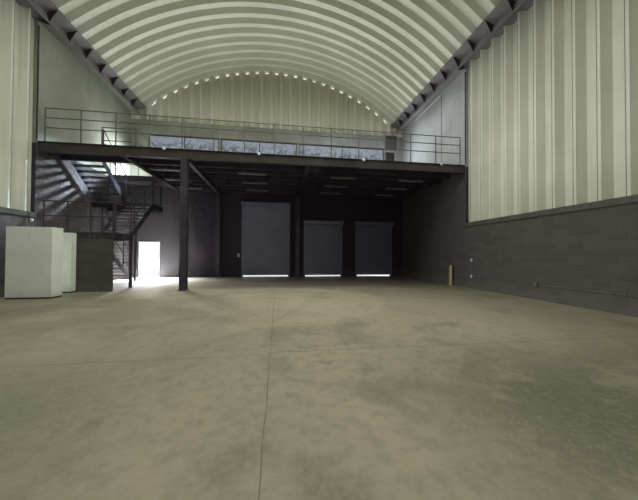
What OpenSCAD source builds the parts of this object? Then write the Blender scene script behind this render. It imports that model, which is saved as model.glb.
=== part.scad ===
// Industrial hall with a self-supporting corrugated arch roof, a mezzanine and an open-tread stair.
// Millimetres. X runs across the hall, Y along it towards the mezzanine end, Z up from the slab's underside.

/* [Hall] */
// Clear width between the side walls
hall_w = 17000; // [15000:100:19000]
// Thickness of the block walls
wall_t = 200; // [150:10:300]
// Projection of that channel from the blocks
band_w = 60; // [40:5:90]
// Thickness of the floor slab
slab_t = 150; // [100:10:300]
// Height of the block walls above the floor
block_h = 2870; // [2400:10:3400]
// Height of the dark channel along the top of the blocks
band_h = 170; // [100:10:250]

/* [Panels] */
// Pitch of the deep corrugation
panel_pitch = 610; // [500:10:700]
// Depth of the corrugation
panel_depth = 190; // [120:5:240]
// Width of the inner flat of each corrugation
crest_w = 90; // [60:5:140]
// Run of each sloping side of a corrugation
flank_w = 140; // [100:5:160]
// Sheet thickness as drawn
sheet_t = 10; // [6:1:16]

/* [Arch roof] */
// Inner radius of the roof sheets
roof_r = 11850; // [11000:50:13000]
// Distance of the sheet ends from the wall's face
eave_w = 780; // [600:10:1000]
// Height of the sheet ends above the floor
eave_h = 10220; // [9800:10:10800]
// Number of corrugations from the front wall to the back wall
roof_wave_count = 40; // [36:1:42]
// Number of nodes that the arch sheets are shared between
roof_bays = 6; // [6:1:6]

/* [Springing beam] */
// Thickness of the seat and sole plates
plate_t = 20; // [12:1:30]
// Slope of the sole plate in degrees
sole_slope = 18.9; // [10:0.1:25]
// Distance of the hanging web from the sheet ends, at its top
web_x = 380; // [300:10:450]
// Depth of the hanging web
web_drop = 370; // [250:10:450]
// Inward lean of the hanging web over its depth
web_lean = 100; // [0:5:150]
// Thickness of the web and gussets
gusset_t = 14; // [8:1:25]
// Pitch of the gussets
gusset_pitch = 965; // [800:5:1200]
// Distance of the first gusset from the back wall
gusset_end = 895; // [100:5:1000]
// Width of the lip along the foot of the hanging web
lip_w = 60; // [30:5:100]
// Rise of the seat plate past the sheets
seat_rise = 30; // [0:5:60]
// Foot of the braces behind the seat plate
brace_w = 560; // [300:10:600]
// Projection of the sole plate past the outside of the wall
sole_over = 60; // [20:5:120]

/* [Mezzanine] */
// Depth of the mezzanine from its front edge to the back wall
mezz_d = 6490; // [6000:10:7200]
// Height of the mezzanine floor
mezz_h = 5480; // [5000:10:6000]
// Thickness of the mezzanine deck
deck_t = 100; // [80:5:160]
// Depth of the steel beams
beam_d = 370; // [300:10:450]
// Flange width of the steel beams
beam_w = 170; // [140:10:220]
// Flange and web thickness of the steel beams
steel_t = 16; // [10:1:24]
// Width of the column section
column_w = 250; // [200:10:400]
// Centre of the left girder and of the column, from the hall's centre line
girder_left_x = -3450; // [-4200:5:-2800]
// Centre of the right girder
girder_right_x = 1400; // [800:5:2200]
// Depth of the joists
joist_d = 200; // [160:10:240]
// Width of the joists' flanges
joist_w = 90; // [60:5:110]
// Pitch of the joists
joist_pitch = 820; // [600:10:1200]
// Distance of the first joist from the mezzanine's front edge
joist_start = 1150; // [400:10:1200]
// Thickness of the columns' base plates
base_t = 25; // [16:1:40]
// Projection of the base plates beside the columns
base_lip = 40; // [10:5:60]

/* [Rails] */
// Height of the top rail
rail_h = 1240; // [1000:10:1300]
// Height of the middle rail
rail_mid_h = 890; // [600:10:950]
// Height of the low rail
rail_low_h = 520; // [300:10:560]
// Diameter of the rails
rail_dia = 38; // [30:1:60]
// Diameter of the rail posts
post_dia = 48; // [40:1:80]
// Pitch of the rail posts
post_pitch = 1180; // [900:10:1500]
// Distance of a guard from the edge that it guards
rail_inset = 60; // [40:5:100]
// Clearance between two guards that meet at a corner
rail_clear = 12; // [5:1:30]
// Height of the stair's top rail
stair_rail_h = 1130; // [900:10:1200]
// Height of the stair's lower rail
stair_rail_mid_h = 590; // [400:10:700]

/* [Stair] */
// Number of risers in each flight
flight_risers = [12, 9, 9]; // [8:1:13]
// Going of one tread
going = 230; // [220:5:250]
// Width of a flight over its stringers
flight_w = 1180; // [1000:10:1200]
// Gap between the stair and the edge of its opening in the deck
well_gap = 60; // [30:5:100]
// Gap between the two lanes of flights
lane_gap = 60; // [40:5:120]
// Gap between the wall and the wall-side flights
wall_gap = 260; // [60:10:280]
// Depth of a stringer
stringer_d = 250; // [200:10:300]
// Thickness of a stringer
stringer_t = 12; // [8:1:20]
// Thickness of a tread
tread_t = 40; // [30:1:60]
// Depth of a tread from nose to back
tread_d = 250; // [230:5:280]
// Height of a stringer's edge over the line of the treads' noses
nose_lift = 30; // [0:5:60]
// Depth of the landings' edge channels
landing_t = 250; // [160:10:280]
// Side of the square posts that carry the landings
landing_post = 100; // [80:5:140]
// Depth of the first landing from the mezzanine's front edge
landing_low_d = 1270; // [1200:10:1400]
// Depth of the second landing
landing_mid_d = 1200; // [1000:10:1300]

/* [Back wall] */
// Distance of the doorway from the left wall
door_inset = 420; // [200:10:600]
// Width of the doorway
door_w = 1300; // [900:10:1400]
// Height of the doorway
door_h = 2140; // [2000:10:2300]
// Left edge of the big shutter opening
big_x = -1990; // [-2400:10:-1600]
// Width of the big shutter opening
big_w = 2840; // [2400:10:3200]
// Height of the big shutter opening
big_h = 4400; // [3900:10:4500]
// Distance of the second small shutter opening from the right wall
small_inset = 820; // [600:10:1000]
// Width of the pier between the small shutter openings
pier_w = 1020; // [800:10:1100]
// Width of the small shutter openings
small_w = 2390; // [2000:10:2500]
// Height of the small shutter openings
small_h = 3340; // [3000:10:3600]
// Height of the strip window
window_h = 1980; // [700:10:2200]
// Height of the plain band between the window's head and the gable panels
head_band = 820; // [600:10:900]
// Distance of the gable panels' foot below the sheet ends
gable_drop = 820; // [500:10:1000]
// Distance of the strip window from the left wall
strip_inset = 1000; // [700:10:1500]
// Distance of the strip window from the right wall
strip_end_inset = 1310; // [700:10:1500]
// Width of a window mullion
mullion_w = 160; // [100:10:240]
// Thickness of the glass
glass_t = 12; // [8:1:24]

/* [Shutters] */
// Height of a slat
slat_h = 75; // [60:5:100]
// Depth of a curved slat as drawn
slat_d = 16; // [10:1:24]
// Width of a guide channel
guide_w = 90; // [60:5:120]
// Depth of a guide channel
guide_d = 80; // [60:5:120]
// Depth of the slot in a guide channel
slot_d = 50; // [30:5:55]
// Height of a roll hood
hood_h = 260; // [220:10:400]
// Depth of a roll hood
hood_d = 320; // [260:10:420]
// Clearance between a curtain's edge and the bottom of its slot
curtain_clear = 2; // [1:1:10]
// Bevel along the front edge of a hood
hood_cut = 60; // [20:5:100]
// Gap left under each shutter
shutter_gap = 90; // [20:5:150]

/* [Front entrance] */
// Width of the entrance
entrance_w = 4900; // [4000:50:5600]
// Height of the entrance
entrance_h = 4400; // [4000:50:4800]
// Width of the entrance frame's posts
frame_w = 150; // [100:10:250]
// Depth and height of the entrance shutter's hood
entrance_hood_d = 480; // [400:10:600]

/* [Lights] */
// Length of a light fixture
fixture_l = 1200; // [900:10:1500]
// Width of a reflector
reflector_w = 180; // [120:10:260]
// Height of a reflector
batten_h = 80; // [50:5:120]
// Length of the stems over a reflector
stem_l = 160; // [60:10:300]
// Diameter of the stems
stem_d = 20; // [12:1:30]

/* [Under the landing] */
// Width of the block wall under the landing's front edge
landing_wall_w = 1190; // [900:10:1300]
// Thickness of that wall
landing_wall_t = 120; // [90:10:150]
// Distance of the tall white cabinet from the left wall
cabinet_x = 450; // [300:10:600]
// Distance from the mezzanine's front edge to the cabinet's front
cabinet_y = 1580; // [1200:10:1800]
// Width of the tall white cabinet
cabinet_w = 1250; // [900:10:1400]
// Depth of the tall white cabinet
cabinet_d = 450; // [350:10:700]
// Height of the tall white cabinet
cabinet_h = 2230; // [1900:10:2400]
// Distance of the narrow white locker from the left wall
locker_x = 1030; // [900:10:1400]
// Width of the narrow white locker
locker_w = 340; // [250:10:400]
// Depth of the narrow white locker
locker_d = 250; // [200:10:600]
// Height of the narrow white locker
locker_h = 2150; // [1800:10:2250]

/* [Hidden] */

half_w = hall_w / 2;
out_x = half_w + wall_t;
hall_l = roof_wave_count * panel_pitch - crest_w;
back_y = hall_l / 2;
front_y = -back_y;
mezz_y = back_y - mezz_d;
out_y = back_y + wall_t;
floor_z = slab_t;

roof_half_span = half_w - eave_w;
roof_half_angle = asin(roof_half_span / roof_r);
spring_z = floor_z + eave_h;
roof_axis_z = spring_z - roof_r * cos(roof_half_angle);
roof_panels = roof_wave_count + 2;
roof_l = roof_panels * panel_pitch;
roof_steps = 2 * floor(240 * roof_half_angle / 360);
roof_fn = floor(roof_steps * 180 / roof_half_angle);
disc_fn = 256;

// Underside of the sole plate at a distance x from the centre line
function sole_z(x) = spring_z - plate_t - (x - roof_half_span) * tan(sole_slope);
panel_crest_x = half_w - band_w;
sole_end_x = out_x + sole_over;

risers = flight_risers[0] + flight_risers[1] + flight_risers[2];
low_steps = flight_risers[0] - 1;
mid_steps = flight_risers[1] - 1;
top_steps = flight_risers[2] - 1;
riser = mezz_h / risers;
lane_a_x = -half_w + wall_gap;
lane_b_x = lane_a_x + flight_w + lane_gap;
stair_right_x = lane_b_x + flight_w;
landing_low_z = flight_risers[0] * riser;
landing_mid_z = (flight_risers[0] + flight_risers[1]) * riser;
landing_low_y = mezz_y + landing_low_d;
landing_mid_y = landing_low_y + mid_steps * going;
landing_mid_end = landing_mid_y + landing_mid_d;
stair_top_y = landing_mid_y - top_steps * going;
well_front_y = stair_top_y;
well_back_y = landing_mid_end + well_gap;
well_right_x = stair_right_x + well_gap;

// How far welded pieces run into each other
weld = 5;

block_brown = [0.33, 0.31, 0.29];
cream = [0.74, 0.74, 0.66];
dark_steel = [0.22, 0.20, 0.21];
plain_grey = [0.62, 0.64, 0.62];
shutter_blue = [0.35, 0.38, 0.43];

// One corrugation as points: [along, depth], starting at the middle of an inner flat
function wave_points(n, offset) = [
    for (i = [0:n - 1])
        for (p = [[0, 0], [crest_w / 2, 0], [crest_w / 2 + flank_w, panel_depth],
                  [panel_pitch - crest_w / 2 - flank_w, panel_depth], [panel_pitch - crest_w / 2, 0]])
            [i * panel_pitch + p[0], p[1] + offset],
    [n * panel_pitch, offset]
];

function reversed(list) = [for (i = [len(list) - 1:-1:0]) list[i]];

// Section of n corrugated sheets side by side: along X, depth towards +Y
module sheet_section(n) {
    polygon(concat(wave_points(n, 0), reversed(wave_points(n, sheet_t))));
}

module box(x0, x1, y0, y1, z0, z1) {
    translate([x0, y0, z0]) cube([x1 - x0, y1 - y0, z1 - z0]);
}

// A profile drawn in X and Z, run along Y from y0 to y1
module along_y(y0, y1) {
    translate([0, y1, 0]) rotate([90, 0, 0]) linear_extrude(y1 - y0) children();
}

module both_sides() {
    children();
    mirror([1, 0, 0]) children();
}

// Rolled I section centred on X, standing on z = 0
module i_section(w, d, t) {
    translate([-w / 2, 0]) square([w, t]);
    translate([-w / 2, d - t]) square([w, t]);
    translate([-t / 2, 0]) square([t, d]);
}

module i_beam_y(x, y0, y1, z, w, d) {
    translate([x, 0, z]) along_y(y0, y1) i_section(w, d, steel_t);
}

module i_beam_x(x0, x1, y, z, w, d) {
    translate([x0, y, z]) rotate([90, 0, 90]) linear_extrude(x1 - x0) i_section(w, d, steel_t);
}

module floor_slab() {
    color([0.62, 0.6, 0.52]) box(-out_x, out_x, -out_y, out_y, 0, slab_t);
}

// Side walls, drawn on the right
module side_block_wall() {
    color(block_brown) box(half_w, out_x, -out_y, mezz_y, floor_z, floor_z + block_h);
}

// Channel on the face of the blocks, its toes towards the wall
module side_band() {
    color(dark_steel) along_y(front_y, mezz_y) translate([panel_crest_x, floor_z + block_h - band_h])
        channel(band_w, band_h, steel_t / 2);
}

// Channel section with its back on X = 0 and its toes at X = w
module channel(w, h, t) {
    difference() {
        square([w, h]);
        translate([t, t]) square([w, h - 2 * t]);
    }
}

// The space that a side wall fills over the blocks, in X and Z
module side_outline(x0) {
    polygon([[x0, floor_z + block_h], [out_x, floor_z + block_h], [out_x, sole_z(out_x)], [x0, sole_z(x0)]]);
}

// Sheets from the mezzanine to the front corner, and the folded trim round that corner
module side_panels() {
    start = crest_w / 2 + flank_w;
    waves = ceil((mezz_y - front_y + start) / panel_pitch);
    color(cream) intersection() {
        union() {
            intersection() {
                translate([panel_crest_x, mezz_y + start, floor_z + block_h]) rotate([0, 0, -90])
                    linear_extrude(spring_z) sheet_section(waves);
                box(0, out_x, front_y, mezz_y, 0, 2 * spring_z);
            }
            box(panel_crest_x, out_x, front_y, front_y + sheet_t, 0, spring_z);
            box(out_x - sheet_t, out_x, -out_y, front_y + sheet_t, 0, spring_z);
            box(half_w, out_x, -out_y, -out_y + sheet_t, 0, spring_z);
        }
        along_y(-out_y, mezz_y) side_outline(panel_crest_x);
    }
}

module side_plain_wall() {
    color(plain_grey) along_y(mezz_y, out_y)
        polygon([[half_w, floor_z], [out_x, floor_z], [out_x, sole_z(out_x)], [half_w, sole_z(half_w)]]);
}

// Sole plate, seat plate, hanging web and gussets of one eave, on the right side
module springing_beam() {
    web_top = [roof_half_span + web_x, sole_z(roof_half_span + web_x)];
    web_foot = web_top - [web_lean, web_drop];
    seat_top = roof_r + panel_depth + sheet_t + seat_rise;
    color(dark_steel) union() {
        along_y(-out_y, out_y) polygon([for (p = [[roof_half_span, 0], [sole_end_x, 0],
            [sole_end_x, plate_t], [roof_half_span, plate_t]]) [p[0], sole_z(p[0]) + p[1]]]);
        along_y(-out_y, out_y) translate([0, roof_axis_z]) rotate(-roof_half_angle)
            translate([0, roof_r - plate_t]) square([plate_t, seat_top - roof_r + plate_t]);
        along_y(front_y, back_y) {
            polygon([web_top + [0, weld], web_foot, web_foot + [gusset_t, 0], web_top + [gusset_t, weld]]);
            translate(web_foot) square([lip_w, gusset_t]);
        }
        for (y = gusset_places()) along_y(y - gusset_t / 2, y + gusset_t / 2) {
            polygon([[roof_half_span + weld, sole_z(roof_half_span)], web_top + [weld, weld], web_foot + [weld, 0]]);
            seat_brace(seat_top);
        }
    }
}

// Triangle between the sole plate and the back of the seat plate
module seat_brace(seat_top) {
    foot = roof_half_span + brace_w;
    lean = [sin(roof_half_angle), cos(roof_half_angle)];
    polygon([[roof_half_span + plate_t, sole_z(roof_half_span + plate_t) + weld], [foot, sole_z(foot) + weld],
             [foot, sole_z(foot) + plate_t], (seat_top - weld) * lean + [weld, roof_axis_z - weld]]);
}

gusset_count = floor((hall_l - gusset_end - gusset_t) / gusset_pitch) + 1;
function gusset_places() = [for (i = [0:gusset_count - 1]) back_y - gusset_end - i * gusset_pitch];

// Arch sheets: n corrugations from y0 on, bent round the arch centre
module roof_sheets(y0, n) {
    color(cream) translate([0, y0, roof_axis_z]) rotate([-90, 0, 0])
        rotate_extrude(angle = 2 * roof_half_angle, start = -90 - roof_half_angle, $fn = roof_fn)
            translate([roof_r, 0]) mirror([1, -1]) sheet_section(n);
}

module roof_bay(i) {
    bay = ceil(roof_panels / roof_bays);
    roof_sheets(-roof_l / 2 + i * bay * panel_pitch, min(bay, roof_panels - i * bay));
}

// Back wall, in rows: piers and lintels, a full band, window piers, and the band that carries the gable
row_z = floor_z + big_h;
gable_z = spring_z - gable_drop;
head_z = gable_z - head_band;
sill_z = head_z - window_h;
door_x = -half_w + door_inset;
small_b_x = half_w - small_inset - small_w;
small_a_x = small_b_x - pier_w - small_w;
strip_x = -half_w + strip_inset;
strip_end_x = half_w - strip_end_inset;

// Boxes through the back wall between pairs of places along X
module back_blocks(edges, z0, z1) {
    for (i = [0:len(edges) / 2 - 1]) box(edges[2 * i], edges[2 * i + 1], back_y, out_y, z0, z1);
}

module back_wall_piers() {
    color(block_brown)
        back_blocks([-half_w, door_x, door_x + door_w, big_x, big_x + big_w, small_a_x, small_a_x + small_w,
                     small_b_x, small_b_x + small_w, half_w], floor_z, row_z);
}

module back_wall_lintels() {
    color(block_brown) {
        back_blocks([door_x, door_x + door_w], floor_z + door_h, row_z);
        back_blocks([small_a_x, small_a_x + small_w, small_b_x, small_b_x + small_w], floor_z + small_h, row_z);
    }
}

module back_wall_upper() {
    color(plain_grey) box(-half_w, half_w, back_y, out_y, row_z, sill_z);
}

module back_window_piers() {
    m = mullion_w / 2;
    color(plain_grey)
        back_blocks([-half_w, strip_x, girder_left_x - m, girder_left_x + m, girder_right_x - m,
                     girder_right_x + m, strip_end_x, half_w], sill_z, head_z);
}

module back_window_glass() {
    m = mullion_w / 2;
    edges = [strip_x, girder_left_x - m, girder_left_x + m, girder_right_x - m, girder_right_x + m, strip_end_x];
    glass_y = back_y + wall_t / 2;
    color([0.75, 0.82, 0.9, 0.6]) for (i = [0:2])
        box(edges[2 * i], edges[2 * i + 1], glass_y - glass_t / 2, glass_y + glass_t / 2,
            sill_z, head_z);
}

module back_wall_head() {
    color(plain_grey) box(-half_w, half_w, back_y, out_y, head_z, gable_z);
}

// Corrugated gable sheets under the arch, standing on a wall top at z0, inner flats on the plane y = 0
module gable(z0) {
    waves = floor(hall_w / panel_pitch);
    edge = (hall_w - waves * panel_pitch) / 2;
    intersection() {
        translate([0, 0, z0]) linear_extrude(spring_z) {
            translate([-half_w + edge, 0]) sheet_section(waves);
            for (x = [-half_w, half_w - edge - crest_w / 2]) translate([x, 0]) square([edge + crest_w / 2, sheet_t]);
        }
        along_y(-1, panel_depth + sheet_t + 1) under_roof();
    }
}

// Outline of the space under the arch and the sole plates, in X and Z
module under_roof() {
    intersection() {
        translate([0, roof_axis_z]) circle(roof_r, $fn = disc_fn);
        translate([-roof_half_span, floor_z]) square([2 * roof_half_span, spring_z + roof_r]);
    }
    polygon([[-half_w, floor_z], [half_w, floor_z], [half_w, sole_z(half_w)], [roof_half_span, sole_z(roof_half_span)],
             [-roof_half_span, sole_z(roof_half_span)], [-half_w, sole_z(half_w)]]);
}

module back_gable_panels() {
    color(cream) translate([0, back_y, 0]) gable(gable_z);
}

// Front wall with its entrance
entrance_half = entrance_w / 2;
module front_block_wall() {
    color(block_brown) both_sides()
        box(entrance_half + frame_w, half_w, -out_y, front_y, floor_z, floor_z + block_h);
}

module front_wall_band() {
    color(dark_steel) both_sides()
        translate([entrance_half + frame_w, front_y + band_w, floor_z + block_h - band_h]) rotate([90, 0, 90])
            linear_extrude(panel_crest_x - entrance_half - frame_w) mirror([1, 0]) channel(band_w, band_h, steel_t / 2);
}

module front_gable_panels() {
    color(cream) difference() {
        translate([0, front_y, 0]) mirror([0, 1, 0]) gable(floor_z + block_h);
        box(-entrance_half - frame_w, entrance_half + frame_w, -out_y - 1, front_y + 1,
            floor_z, floor_z + entrance_h + frame_w);
    }
}

module entrance_frame() {
    color(dark_steel) difference() {
        box(-entrance_half - frame_w, entrance_half + frame_w, -out_y, front_y,
            floor_z, floor_z + entrance_h + frame_w);
        box(-entrance_half, entrance_half, -out_y - 1, front_y + 1, floor_z - 1, floor_z + entrance_h);
    }
}

// Rolled-up curtain in a round-nosed hood
module entrance_hood() {
    r = entrance_hood_d / 2;
    color(shutter_blue) translate([-entrance_half - guide_w, front_y, floor_z + entrance_h]) rotate([90, 0, 90])
        linear_extrude(entrance_w + 2 * guide_w) union() {
            square([r, entrance_hood_d]);
            translate([r, r]) circle(r, $fn = 96);
        }
}

// Guide of a roller curtain: its back on the wall plane y = 0, the curtain's slot on its right
module guide(h) {
    difference() {
        box(0, guide_w, 0, guide_d, 0, h);
        box(guide_w - slot_d, guide_w + 1, guide_d / 2 - slat_d, guide_d / 2 + slat_d, -1, h + 1);
    }
}

module entrance_guides() {
    color(dark_steel) both_sides() translate([entrance_half + guide_w, front_y, floor_z]) mirror([1, 0, 0])
        guide(entrance_h);
}

// Back wall shutters: [left edge, width, height]
shutters = [[big_x, big_w, big_h], [small_a_x, small_w, small_h], [small_b_x, small_w, small_h]];
slot_edge = slot_d / 2;

// Front of a curtain as points: [depth, height], two flats and a crown for each slat
function slat_points(n, side) = [
    for (i = [0:n - 1]) for (p = [[0, 0], [0.3, 1], [0.7, 1]]) [side + p[1] * slat_d / 2, (i + p[0]) * slat_h],
    [side, n * slat_h]
];

module curtain(s) {
    n = floor((s[2] - shutter_gap) / slat_h);
    side = slot_edge - curtain_clear;
    translate([s[0] - side, back_y - guide_d / 2, floor_z + s[2] - n * slat_h]) rotate([90, 0, 90])
        linear_extrude(s[1] + 2 * side)
            polygon(concat(slat_points(n, -slat_d / 2), reversed(slat_points(n, 0))));
}

module shutter_curtains() {
    color(shutter_blue) for (s = shutters) curtain(s);
}

module shutter_guides() {
    color(dark_steel) for (s = shutters) {
        translate([s[0] + slot_edge - guide_w, back_y, floor_z]) mirror([0, 1, 0]) guide(s[2]);
        translate([s[0] + s[1] - slot_edge + guide_w, back_y, floor_z]) rotate([0, 0, 180]) guide(s[2]);
    }
}

module shutter_hoods() {
    color(shutter_blue) for (s = shutters)
        translate([s[0] + slot_edge - guide_w, back_y, floor_z + s[2]]) rotate([90, 0, 90])
            linear_extrude(s[1] + 2 * (guide_w - slot_edge))
                polygon([[0, 0], [-hood_d, 0], [-hood_d, hood_h - hood_cut], [-hood_d + hood_cut, hood_h], [0, hood_h]]);
}

// Mezzanine
deck_z = floor_z + mezz_h;
beam_z = deck_z - beam_d;
girder_d = beam_d - deck_t;
joist_z = deck_z - deck_t - joist_d;

module mezzanine_deck() {
    color([0.5, 0.5, 0.47]) difference() {
        box(-half_w, half_w, mezz_y + beam_w, back_y, deck_z - deck_t, deck_z);
        box(-half_w - 1, well_right_x, well_front_y, well_back_y, deck_z - deck_t - 1, deck_z + 1);
    }
}

module mezzanine_front_beam() {
    color(dark_steel) i_beam_x(-half_w, half_w, mezz_y + beam_w / 2, beam_z, beam_w, beam_d);
}

// H section with its flanges facing the hall, on a base plate
module column(x, y) {
    translate([x, y, floor_z]) union() {
        translate([0, 0, base_t]) linear_extrude(mezz_h - beam_d - base_t) i_section(column_w, column_w, steel_t);
        box(-column_w / 2 - base_lip, column_w / 2 + base_lip, 0, column_w, 0, base_t);
    }
}

module mezzanine_columns() {
    color(dark_steel) {
        column(girder_left_x, mezz_y);
        column(girder_left_x, back_y - column_w);
        column(girder_right_x, back_y - column_w);
    }
}

module mezzanine_girders() {
    color(dark_steel) for (x = [girder_left_x, girder_right_x, well_right_x + beam_w / 2])
        i_beam_y(x, mezz_y + beam_w, back_y, beam_z, beam_w, girder_d);
}

joist_count = floor((back_y - joist_pitch / 2 - mezz_y - joist_start) / joist_pitch) + 1;
function joist_y(i) = mezz_y + joist_start + i * joist_pitch;

module joist(x0, x1, y) {
    translate([x0, y, joist_z]) rotate([90, 0, 90]) linear_extrude(x1 - x0) channel(joist_w, joist_d, steel_t / 2);
}

// Clear bays between the girders, from side to side
joist_bays = [[well_right_x + beam_w, girder_left_x - beam_w / 2],
              [girder_left_x + beam_w / 2, girder_right_x - beam_w / 2],
              [girder_right_x + beam_w / 2, half_w]];

module mezzanine_joists() {
    color(dark_steel) {
        for (bay = joist_bays) for (i = [0:joist_count - 1]) joist(bay[0], bay[1], joist_y(i));
        joist(-half_w, well_right_x, well_front_y - joist_w);
        joist(-half_w, well_right_x, well_back_y);
    }
}

// Reflector battens on two stems, in every other joist row
module light_fixtures() {
    x_places = [for (p = [[0, 0.5], [1, 0.51], [2, 0.24], [2, 0.71]])
        joist_bays[p[0]][0] + p[1] * (joist_bays[p[0]][1] - joist_bays[p[0]][0])];
    r = reflector_w / 2;
    color([0.75, 0.75, 0.72]) for (x = x_places) for (i = [0:2:joist_count - 2])
        translate([x - fixture_l / 2, joist_y(i) + joist_w / 2, joist_z - stem_l]) union() {
            rotate([90, 0, 90]) linear_extrude(fixture_l)
                polygon([[-r / 2, 0], [r / 2, 0], [r, -batten_h * 0.7], [r, -batten_h], [-r, -batten_h],
                         [-r, -batten_h * 0.7]]);
            for (u = [0.2, 0.8]) translate([u * fixture_l, 0, -weld]) cylinder(h = stem_l + weld, d = stem_d, $fn = 24);
        }
}

// Rails
// A straight pipe from point a to point b
module pipe(a, b, d) {
    v = b - a;
    translate(a) rotate([0, acos(v[2] / norm(v)), atan2(v[1], v[0])]) cylinder(h = norm(v), d = d, $fn = 24);
}

// Guard from a to b: n + 1 upright posts and a rail at each height
module guard(a, b, n, heights) {
    union() {
        for (i = [0:n]) {
            p = a + (b - a) * i / n;
            pipe(p, p + [0, 0, heights[0]], post_dia);
        }
        for (h = heights) pipe(a + [0, 0, h], b + [0, 0, h], rail_dia);
    }
}

rail_gap = post_dia + rail_clear;
module mezzanine_rail() {
    posts = floor((hall_w - 2 * post_dia) / post_pitch);
    end = posts * post_pitch / 2;
    y = mezz_y + rail_inset;
    color(dark_steel) guard([-end, y, deck_z], [end, y, deck_z], posts, [rail_h, rail_mid_h, rail_low_h]);
}

module stairwell_rail() {
    heights = [stair_rail_h, stair_rail_mid_h];
    x0 = lane_b_x - lane_gap / 2;
    x1 = well_right_x + rail_inset;
    y0 = well_front_y - rail_inset;
    y1 = well_back_y + rail_inset;
    color(dark_steel) {
        guard([x0, y0, deck_z], [x1 - rail_gap, y0, deck_z], 1, heights);
        guard([x1, y0, deck_z], [x1, y1, deck_z], 3, heights);
        guard([-half_w + post_dia, y1, deck_z], [x1 - rail_gap, y1, deck_z], 2, heights);
    }
}

// Stair, three flights in two lanes
slope = riser / going;
toe = going * 0.6;
function nose_z(y) = riser + y * slope;

// Children drawn as a flight of n steps that climbs towards +Y, turned to climb towards the front
module turned(n) {
    translate([0, n * going, 0]) mirror([0, 1, 0]) children();
}

module in_flight_1() {
    translate([lane_a_x, landing_low_y, floor_z]) turned(low_steps) children();
}

module in_flight_2() {
    translate([lane_b_x, landing_low_y, floor_z + landing_low_z]) children();
}

module in_flight_3() {
    translate([lane_a_x, stair_top_y, floor_z + landing_mid_z]) turned(top_steps) children();
}

module stringers(n) {
    run = n * going;
    drop = stringer_d / cos(atan(slope));
    heel = (drop - riser - nose_lift) / slope;
    for (x = [0, flight_w - stringer_t]) translate([x, 0, 0]) rotate([90, 0, 90]) linear_extrude(stringer_t)
        polygon([[-toe, 0], [-toe, nose_z(-toe) + nose_lift], [run, nose_z(run) + nose_lift],
                 [run, nose_z(run) + nose_lift - drop], [heel, 0]]);
}

module treads(n) {
    for (i = [1:n]) box(stringer_t, flight_w - stringer_t, (i - 1) * going,
                        min((i - 1) * going + tread_d, n * going), i * riser - tread_t, i * riser);
}

module stair_stringers() {
    color(dark_steel) {
        in_flight_1() stringers(low_steps);
        in_flight_2() stringers(mid_steps);
        in_flight_3() stringers(top_steps);
    }
}

module stair_treads() {
    color(dark_steel) {
        in_flight_1() treads(low_steps);
        in_flight_2() treads(mid_steps);
        in_flight_3() treads(top_steps);
    }
}

// Deck plate in a frame of edge channels, from the wall to the outer lane
module landing(y0, y1, z) {
    difference() {
        box(-half_w, stair_right_x, y0, y1, z - landing_t, z);
        box(-half_w + stringer_t, stair_right_x - stringer_t, y0 + stringer_t, y1 - stringer_t,
            z - landing_t - 1, z - stringer_t);
    }
}

module stair_landings() {
    color(dark_steel) {
        landing(mezz_y, landing_low_y, floor_z + landing_low_z);
        landing(landing_mid_y, landing_mid_end, floor_z + landing_mid_z);
    }
}

// A post under the first landing's free corner, and one under the back edge of the second
module stair_posts() {
    color(dark_steel) {
        stair_post(stair_right_x, landing_low_y, landing_low_z);
        stair_post(lane_a_x + flight_w, landing_mid_end, landing_mid_z);
    }
}

module stair_post(x1, y1, z) {
    box(x1 - landing_post, x1, y1 - landing_post, y1, floor_z, floor_z + z - landing_t);
}

// Guards of the landings, and of the flights on the sides that stand free
module stair_rails() {
    heights = [stair_rail_h, stair_rail_mid_h];
    low = floor_z + landing_low_z;
    mid = floor_z + landing_mid_z;
    x1 = stair_right_x - rail_inset;
    free_x = flight_w + post_dia / 2;
    color(dark_steel) {
        guard([lane_a_x, mezz_y + rail_inset, low], [x1 - rail_gap, mezz_y + rail_inset, low], 3, heights);
        guard([x1, mezz_y + rail_inset, low], [x1, landing_low_y - rail_inset, low], 1, heights);
        guard([-half_w + rail_inset, landing_mid_end - rail_inset, mid],
              [x1 - rail_gap, landing_mid_end - rail_inset, mid], 2, heights);
        guard([x1, landing_mid_y + rail_inset, mid], [x1, landing_mid_end - rail_inset, mid], 1, heights);
        in_flight_1() guard([free_x, 0, nose_z(0)], [free_x, low_steps * going - post_dia,
            nose_z(low_steps * going - post_dia)], 3, heights);
        in_flight_2() guard([free_x, 0, nose_z(0)], [free_x, mid_steps * going - post_dia,
            nose_z(mid_steps * going - post_dia)], 2, heights);
        in_flight_3() guard([free_x, 0, nose_z(0)], [free_x, top_steps * going - post_dia,
            nose_z(top_steps * going - post_dia)], 2, heights);
    }
}

// Block wall that carries the front edge of the first landing, short of its free corner by a wall's thickness
module landing_block_wall() {
    x1 = stair_right_x - landing_wall_t;
    color(block_brown) box(x1 - landing_wall_w, x1, mezz_y, mezz_y + landing_wall_t,
                           floor_z, floor_z + landing_low_z - landing_t);
}

module white_cabinet() {
    color([0.8, 0.84, 0.78]) translate([-half_w + cabinet_x, mezz_y - cabinet_y, floor_z])
        cube([cabinet_w, cabinet_d, cabinet_h]);
}

module white_locker() {
    color([0.8, 0.84, 0.78]) translate([-half_w + locker_x, mezz_y - locker_d, floor_z])
        cube([locker_w, locker_d, locker_h]);
}

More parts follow.
